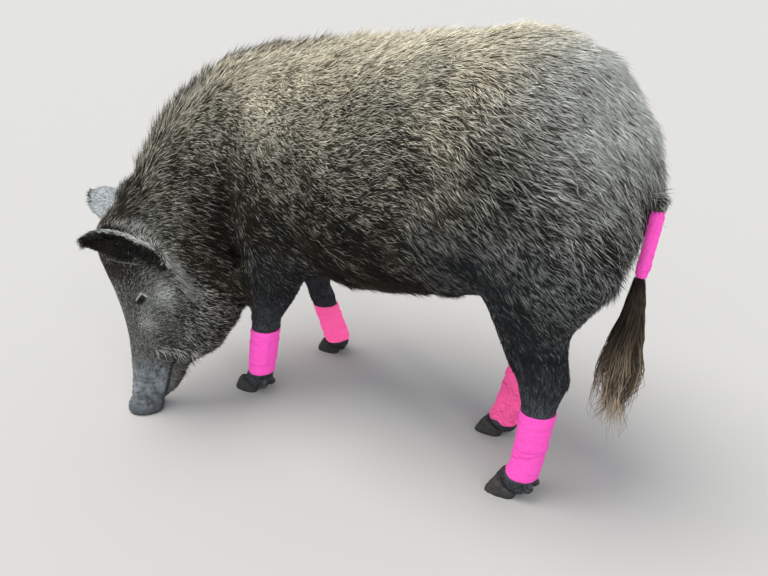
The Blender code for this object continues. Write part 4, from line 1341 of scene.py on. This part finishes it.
class Finish:
    """A material's nodes, round one Principled shader."""

    def __init__(self, name, **even):
        self.material = bpy.data.materials.new(name)
        self.material.use_nodes = True
        self.tree = self.material.node_tree
        self.shader = self.tree.nodes["Principled BSDF"]
        for socket, value in even.items():
            self.shader.inputs[socket.replace("_", " ")].default_value = value

    def node(self, kind, settings, sockets, outlet=0):
        """Adds a node, sets it up, joins its inputs and gives one of its outputs."""
        made = self.tree.nodes.new(kind)
        for key, value in settings.items():
            if key == "stops":
                ramp = made.color_ramp.elements
                while len(ramp) < len(value):
                    ramp.new(0.5)
                for element, (place, colour) in zip(ramp, value):
                    element.position, element.color = place, (*colour, 1)
            else:
                setattr(made, key, value)
        for key, value in sockets.items():
            self.join(value, made.inputs[key])
        return Signal(self, made.outputs[outlet])

    def join(self, value, socket):
        """Links a signal to a socket, or sets the socket to a number, a direction or a colour."""
        if isinstance(value, Signal):
            self.tree.links.new(value.socket, socket)
        elif socket.type == "RGBA":
            socket.default_value = (*value, 1)
        else:
            socket.default_value = value

    def feed(self, **sockets):
        """Joins values to the shader's own sockets."""
        for socket, value in sockets.items():
            self.join(value, self.shader.inputs[socket.replace("_", " ")])

    def place(self, stretch=(1, 1, 1), source="Object"):
        """Where a point of the surface is, stretched along each axis."""
        where = self.node("ShaderNodeTexCoord", {}, {}, source)
        return self.node("ShaderNodeMapping", {}, {"Vector": where, "Scale": stretch})

    def attribute(self, name, outlet="Color"):
        """What is kept under a name at the vertices."""
        return self.node("ShaderNodeAttribute", {"attribute_name": name}, {}, outlet)

    def noise(self, where, scale, detail=4.0, rough=0.55):
        """A soft random number from place to place."""
        return self.node("ShaderNodeTexNoise", {}, {"Vector": where, "Scale": scale, "Detail": detail,
                                                    "Roughness": rough})

    def mix(self, factor, first, second, blend="MIX"):
        """Between two colours, by a factor."""
        return self.node("ShaderNodeMix", {"data_type": "RGBA", "blend_type": blend},
                         {0: factor, 6: first, 7: second}, 2)

    def between(self, factor, low, high, start=0.0, end=1.0):
        """A number from low to high as factor goes from start to end."""
        return self.node("ShaderNodeMapRange", {}, {"Value": factor, "From Min": start, "From Max": end,
                                                    "To Min": low, "To Max": high})

    def toned(self, name, grain, low, high):
        """The colour kept under a name, darker and paler from low to high by a grain."""
        tone = self.between(grain, low, high)
        grey = self.node("ShaderNodeCombineColor", {}, {0: tone, 1: tone, 2: tone})
        return self.mix(1.0, self.attribute(name), grey, "MULTIPLY")

    def bump(self, height, depth, strength, under=None):
        """Relief from a height, over another relief under it."""
        sockets = {"Height": height, "Distance": depth, "Strength": strength}
        if under is not None:
            sockets["Normal"] = under
        return self.node("ShaderNodeBump", {}, sockets)

    def cover(self, *things):
        """Puts the material on these objects."""
        for thing in things:
            thing.data.materials.clear()
            thing.data.materials.append(self.material)


def bristles():
    """The tufts' horny hair, in the colours kept at its vertices."""
    finish = Finish("bristles", Roughness=0.52, Specular_IOR_Level=0.12)
    grain = finish.noise(finish.place(), 160.0, 3.0)
    finish.feed(Base_Color=finish.toned("coat", grain, 0.72, 1.28))
    return finish


def pored_hide():
    """Pored skin, with fine streaks, and smoother where it is bare and damp."""
    finish = Finish("hide", Specular_IOR_Level=0.4)
    where = finish.place()
    damp = finish.attribute("damp", "Fac")
    pores = finish.noise(where, 420.0, 3.0, 0.6)
    blotch = finish.noise(where, 38.0, 5.0, 0.6)
    streaks = finish.noise(finish.place((1, 1, 0.22)), 520.0, 3.0, 0.6)
    finish.feed(Base_Color=finish.toned("hide", blotch, 0.66, 1.34),
                Roughness=finish.between(damp, 0.80, 0.47) + 0.16 * (pores - 0.5),
                Normal=finish.bump(pores, 0.0008, 0.7, finish.bump(streaks, 0.0007, 0.6)))
    return finish


def wet_eye():
    """A dark iris with a wide pupil and a ring of white, under a wet cornea."""
    finish = Finish("wet_eye", Roughness=0.03, IOR=1.36, Specular_IOR_Level=0.2)
    axis = finish.attribute("from_axis", "Fac")
    rays = finish.noise(finish.place(), 900.0, 2.0)
    ring = finish.node("ShaderNodeValToRGB", {"stops": (
        (0.0, (0.008, 0.006, 0.004)), (0.40, (0.014, 0.010, 0.007)), (0.62, (0.004, 0.003, 0.002)),
        (0.68, (0.06, 0.045, 0.040)), (1.0, (0.14, 0.10, 0.09)))}, {0: axis + 0.05 * (rays - 0.5)})
    iris = finish.between(finish.attribute("pupil", "Fac"), 0.0, 1.0, 0.9, 1.1)
    finish.feed(Base_Color=finish.mix(iris, (0.002, 0.002, 0.002), ring))
    return finish


def crepe(name, colour, dirt, glow):
    """Crinkled stretch cloth in a bright dye, with a painted glow, painted light and shade on its crinkles,
    and painted shade along its fold lines.
    """
    finish = Finish(name, Roughness=0.85, Specular_IOR_Level=0.2, Emission_Strength=glow)
    along = finish.place((1, 1, 1), "UV")
    threads = finish.node("ShaderNodeTexWave", {"wave_type": "BANDS", "bands_direction": "Y"},
                          {"Vector": along, "Scale": 260.0, "Distortion": 5.0, "Detail": 2.0,
                           "Detail Scale": 1.6})
    crinkle = finish.noise(finish.place((1, 3.2, 1), "UV"), 210.0, 4.0, 0.6)
    soft = finish.noise(finish.place(), 22.0, 4.0)
    # Painted light and shade on the crinkles: the cloth paler on their crests and darker in their hollows.
    pale = tuple(min(1.0, part * 1.25 + 0.03) for part in colour)
    crinkle_shade = tuple(part * 0.72 for part in colour)
    cloth = finish.mix(finish.between(crinkle, -0.15, 1.15), crinkle_shade, pale)
    dyed = finish.mix(finish.between(soft, 0.0, dirt, 0.58, 0.85), cloth, (0.30, 0.16, 0.17))
    # Painted shade in the fold lines and along the tape's edges.
    shade = tuple(part * 0.36 for part in colour)
    dyed = finish.mix(0.75 * finish.attribute("crease", "Fac"), dyed, shade)
    # Painted glow: the cloth's colour given off as light.
    finish.feed(Base_Color=dyed, Emission_Color=dyed,
                Normal=finish.bump(crinkle, 0.0016, 0.8, finish.bump(threads, 0.0005, 0.5)))
    return finish


def horn():
    """Dark horn in growth bands, with dust on it."""
    finish = Finish("horn", Specular_IOR_Level=0.35)
    bands = finish.noise(finish.place((0.25, 0.25, 1.0)), 340.0, 3.0)
    dust = finish.noise(finish.place(), 90.0, 6.0, 0.65)
    body = finish.mix(bands, (0.013, 0.013, 0.014), (0.040, 0.040, 0.039))
    dusty = finish.between(dust, 0.0, 0.5, 0.42, 0.72)
    finish.feed(Base_Color=finish.mix(dusty, body, (0.085, 0.080, 0.070)),
                Roughness=finish.between(dust, 0.5, 0.9),
                Normal=finish.bump(bands, 0.0008, 0.6, finish.bump(dust, 0.0006, 0.5)))
    return finish


# ---------------------------------------------------------------- stage

def shine(name, source, strength, breadth, colour):
    """Soft light of one strength everywhere, from one direction, spread over some degrees."""
    lamp = bpy.data.lights.new(name, "SUN")
    lamp.energy, lamp.angle, lamp.color = strength, math.radians(breadth), colour
    made = bpy.data.objects.new(name, lamp)
    made.rotation_euler = Vector(source).to_track_quat("Z", "Y").to_euler()
    bpy.context.scene.collection.objects.link(made)


SKY, SKY_STRENGTH = (0.84, 0.87, 0.92, 1), 0.78
FLOOR_TONE = (0.41, 0.405, 0.395, 1)
# Each sun: the way it comes from, its strength, how wide it is in degrees, and its colour.
SUNS = {
    "high_sun": ((0.25, -0.30, 1.0), 3.1, 44, (1.0, 0.97, 0.93)),
    "side_sun": ((1.0, 0.45, 0.80), 1.25, 60, (0.95, 0.98, 1.0)),
    "spark": ((0.40, 0.97, 0.60), 0.26, 5, (1.0, 1.0, 1.0)),
}
VIEWER = (1.06, 0.76, 0.849)                # the camera's place from the trunk's middle line
VIEWER_TILT, VIEWER_TURN = 67, 126          # in degrees
SENSOR, LENS = 36, 32.8


def set_stage():
    """A pale floor, soft light from above, and the camera."""
    bpy.ops.mesh.primitive_plane_add(size=400)
    floor = bpy.context.active_object
    floor.name = "floor"
    Finish("floor", Base_Color=FLOOR_TONE, Roughness=0.95).cover(floor)
    world = bpy.data.worlds.new("sky")
    world.use_nodes = True
    colour, strength = world.node_tree.nodes["Background"].inputs[:2]
    colour.default_value, strength.default_value = SKY, SKY_STRENGTH
    scene = bpy.context.scene
    scene.world = world
    for name, how in SUNS.items():
        shine(name, *how)
    camera = bpy.data.cameras.new("camera")
    camera.sensor_width, camera.lens = SENSOR, LENS
    viewer = bpy.data.objects.new("camera", camera)
    viewer.location = Vector(VIEWER) + Vector(SHIFT)
    viewer.rotation_euler = (math.radians(VIEWER_TILT), 0, math.radians(VIEWER_TURN))
    scene.collection.objects.link(viewer)
    scene.camera = viewer
    scene.view_settings.view_transform = "Standard"


def build():
    """The whole pig: skin, coat, switch, eyes, wraps and claws."""
    skin = make_skin()
    coat = grow_coat(skin)
    coat.append(grow_whiskers(skin))
    switch = grow_switch(skin)
    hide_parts(*FLESH_NODES)
    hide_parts("tail_switch")
    eyes = [make_eye(side) for side in SIDES]
    tapes = [make_wrap(node) for node in WRAPS]
    claws = [make_claw(node) for node in frame["nodes"] if node.startswith(("hoof", "dewclaw"))]
    bristles().cover(*coat, switch)
    pored_hide().cover(skin)
    wet_eye().cover(*eyes)
    horn().cover(*claws)
    for piece in (skin, switch, *coat, *eyes, *tapes, *claws):
        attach(piece, "root")


build()
set_stage()
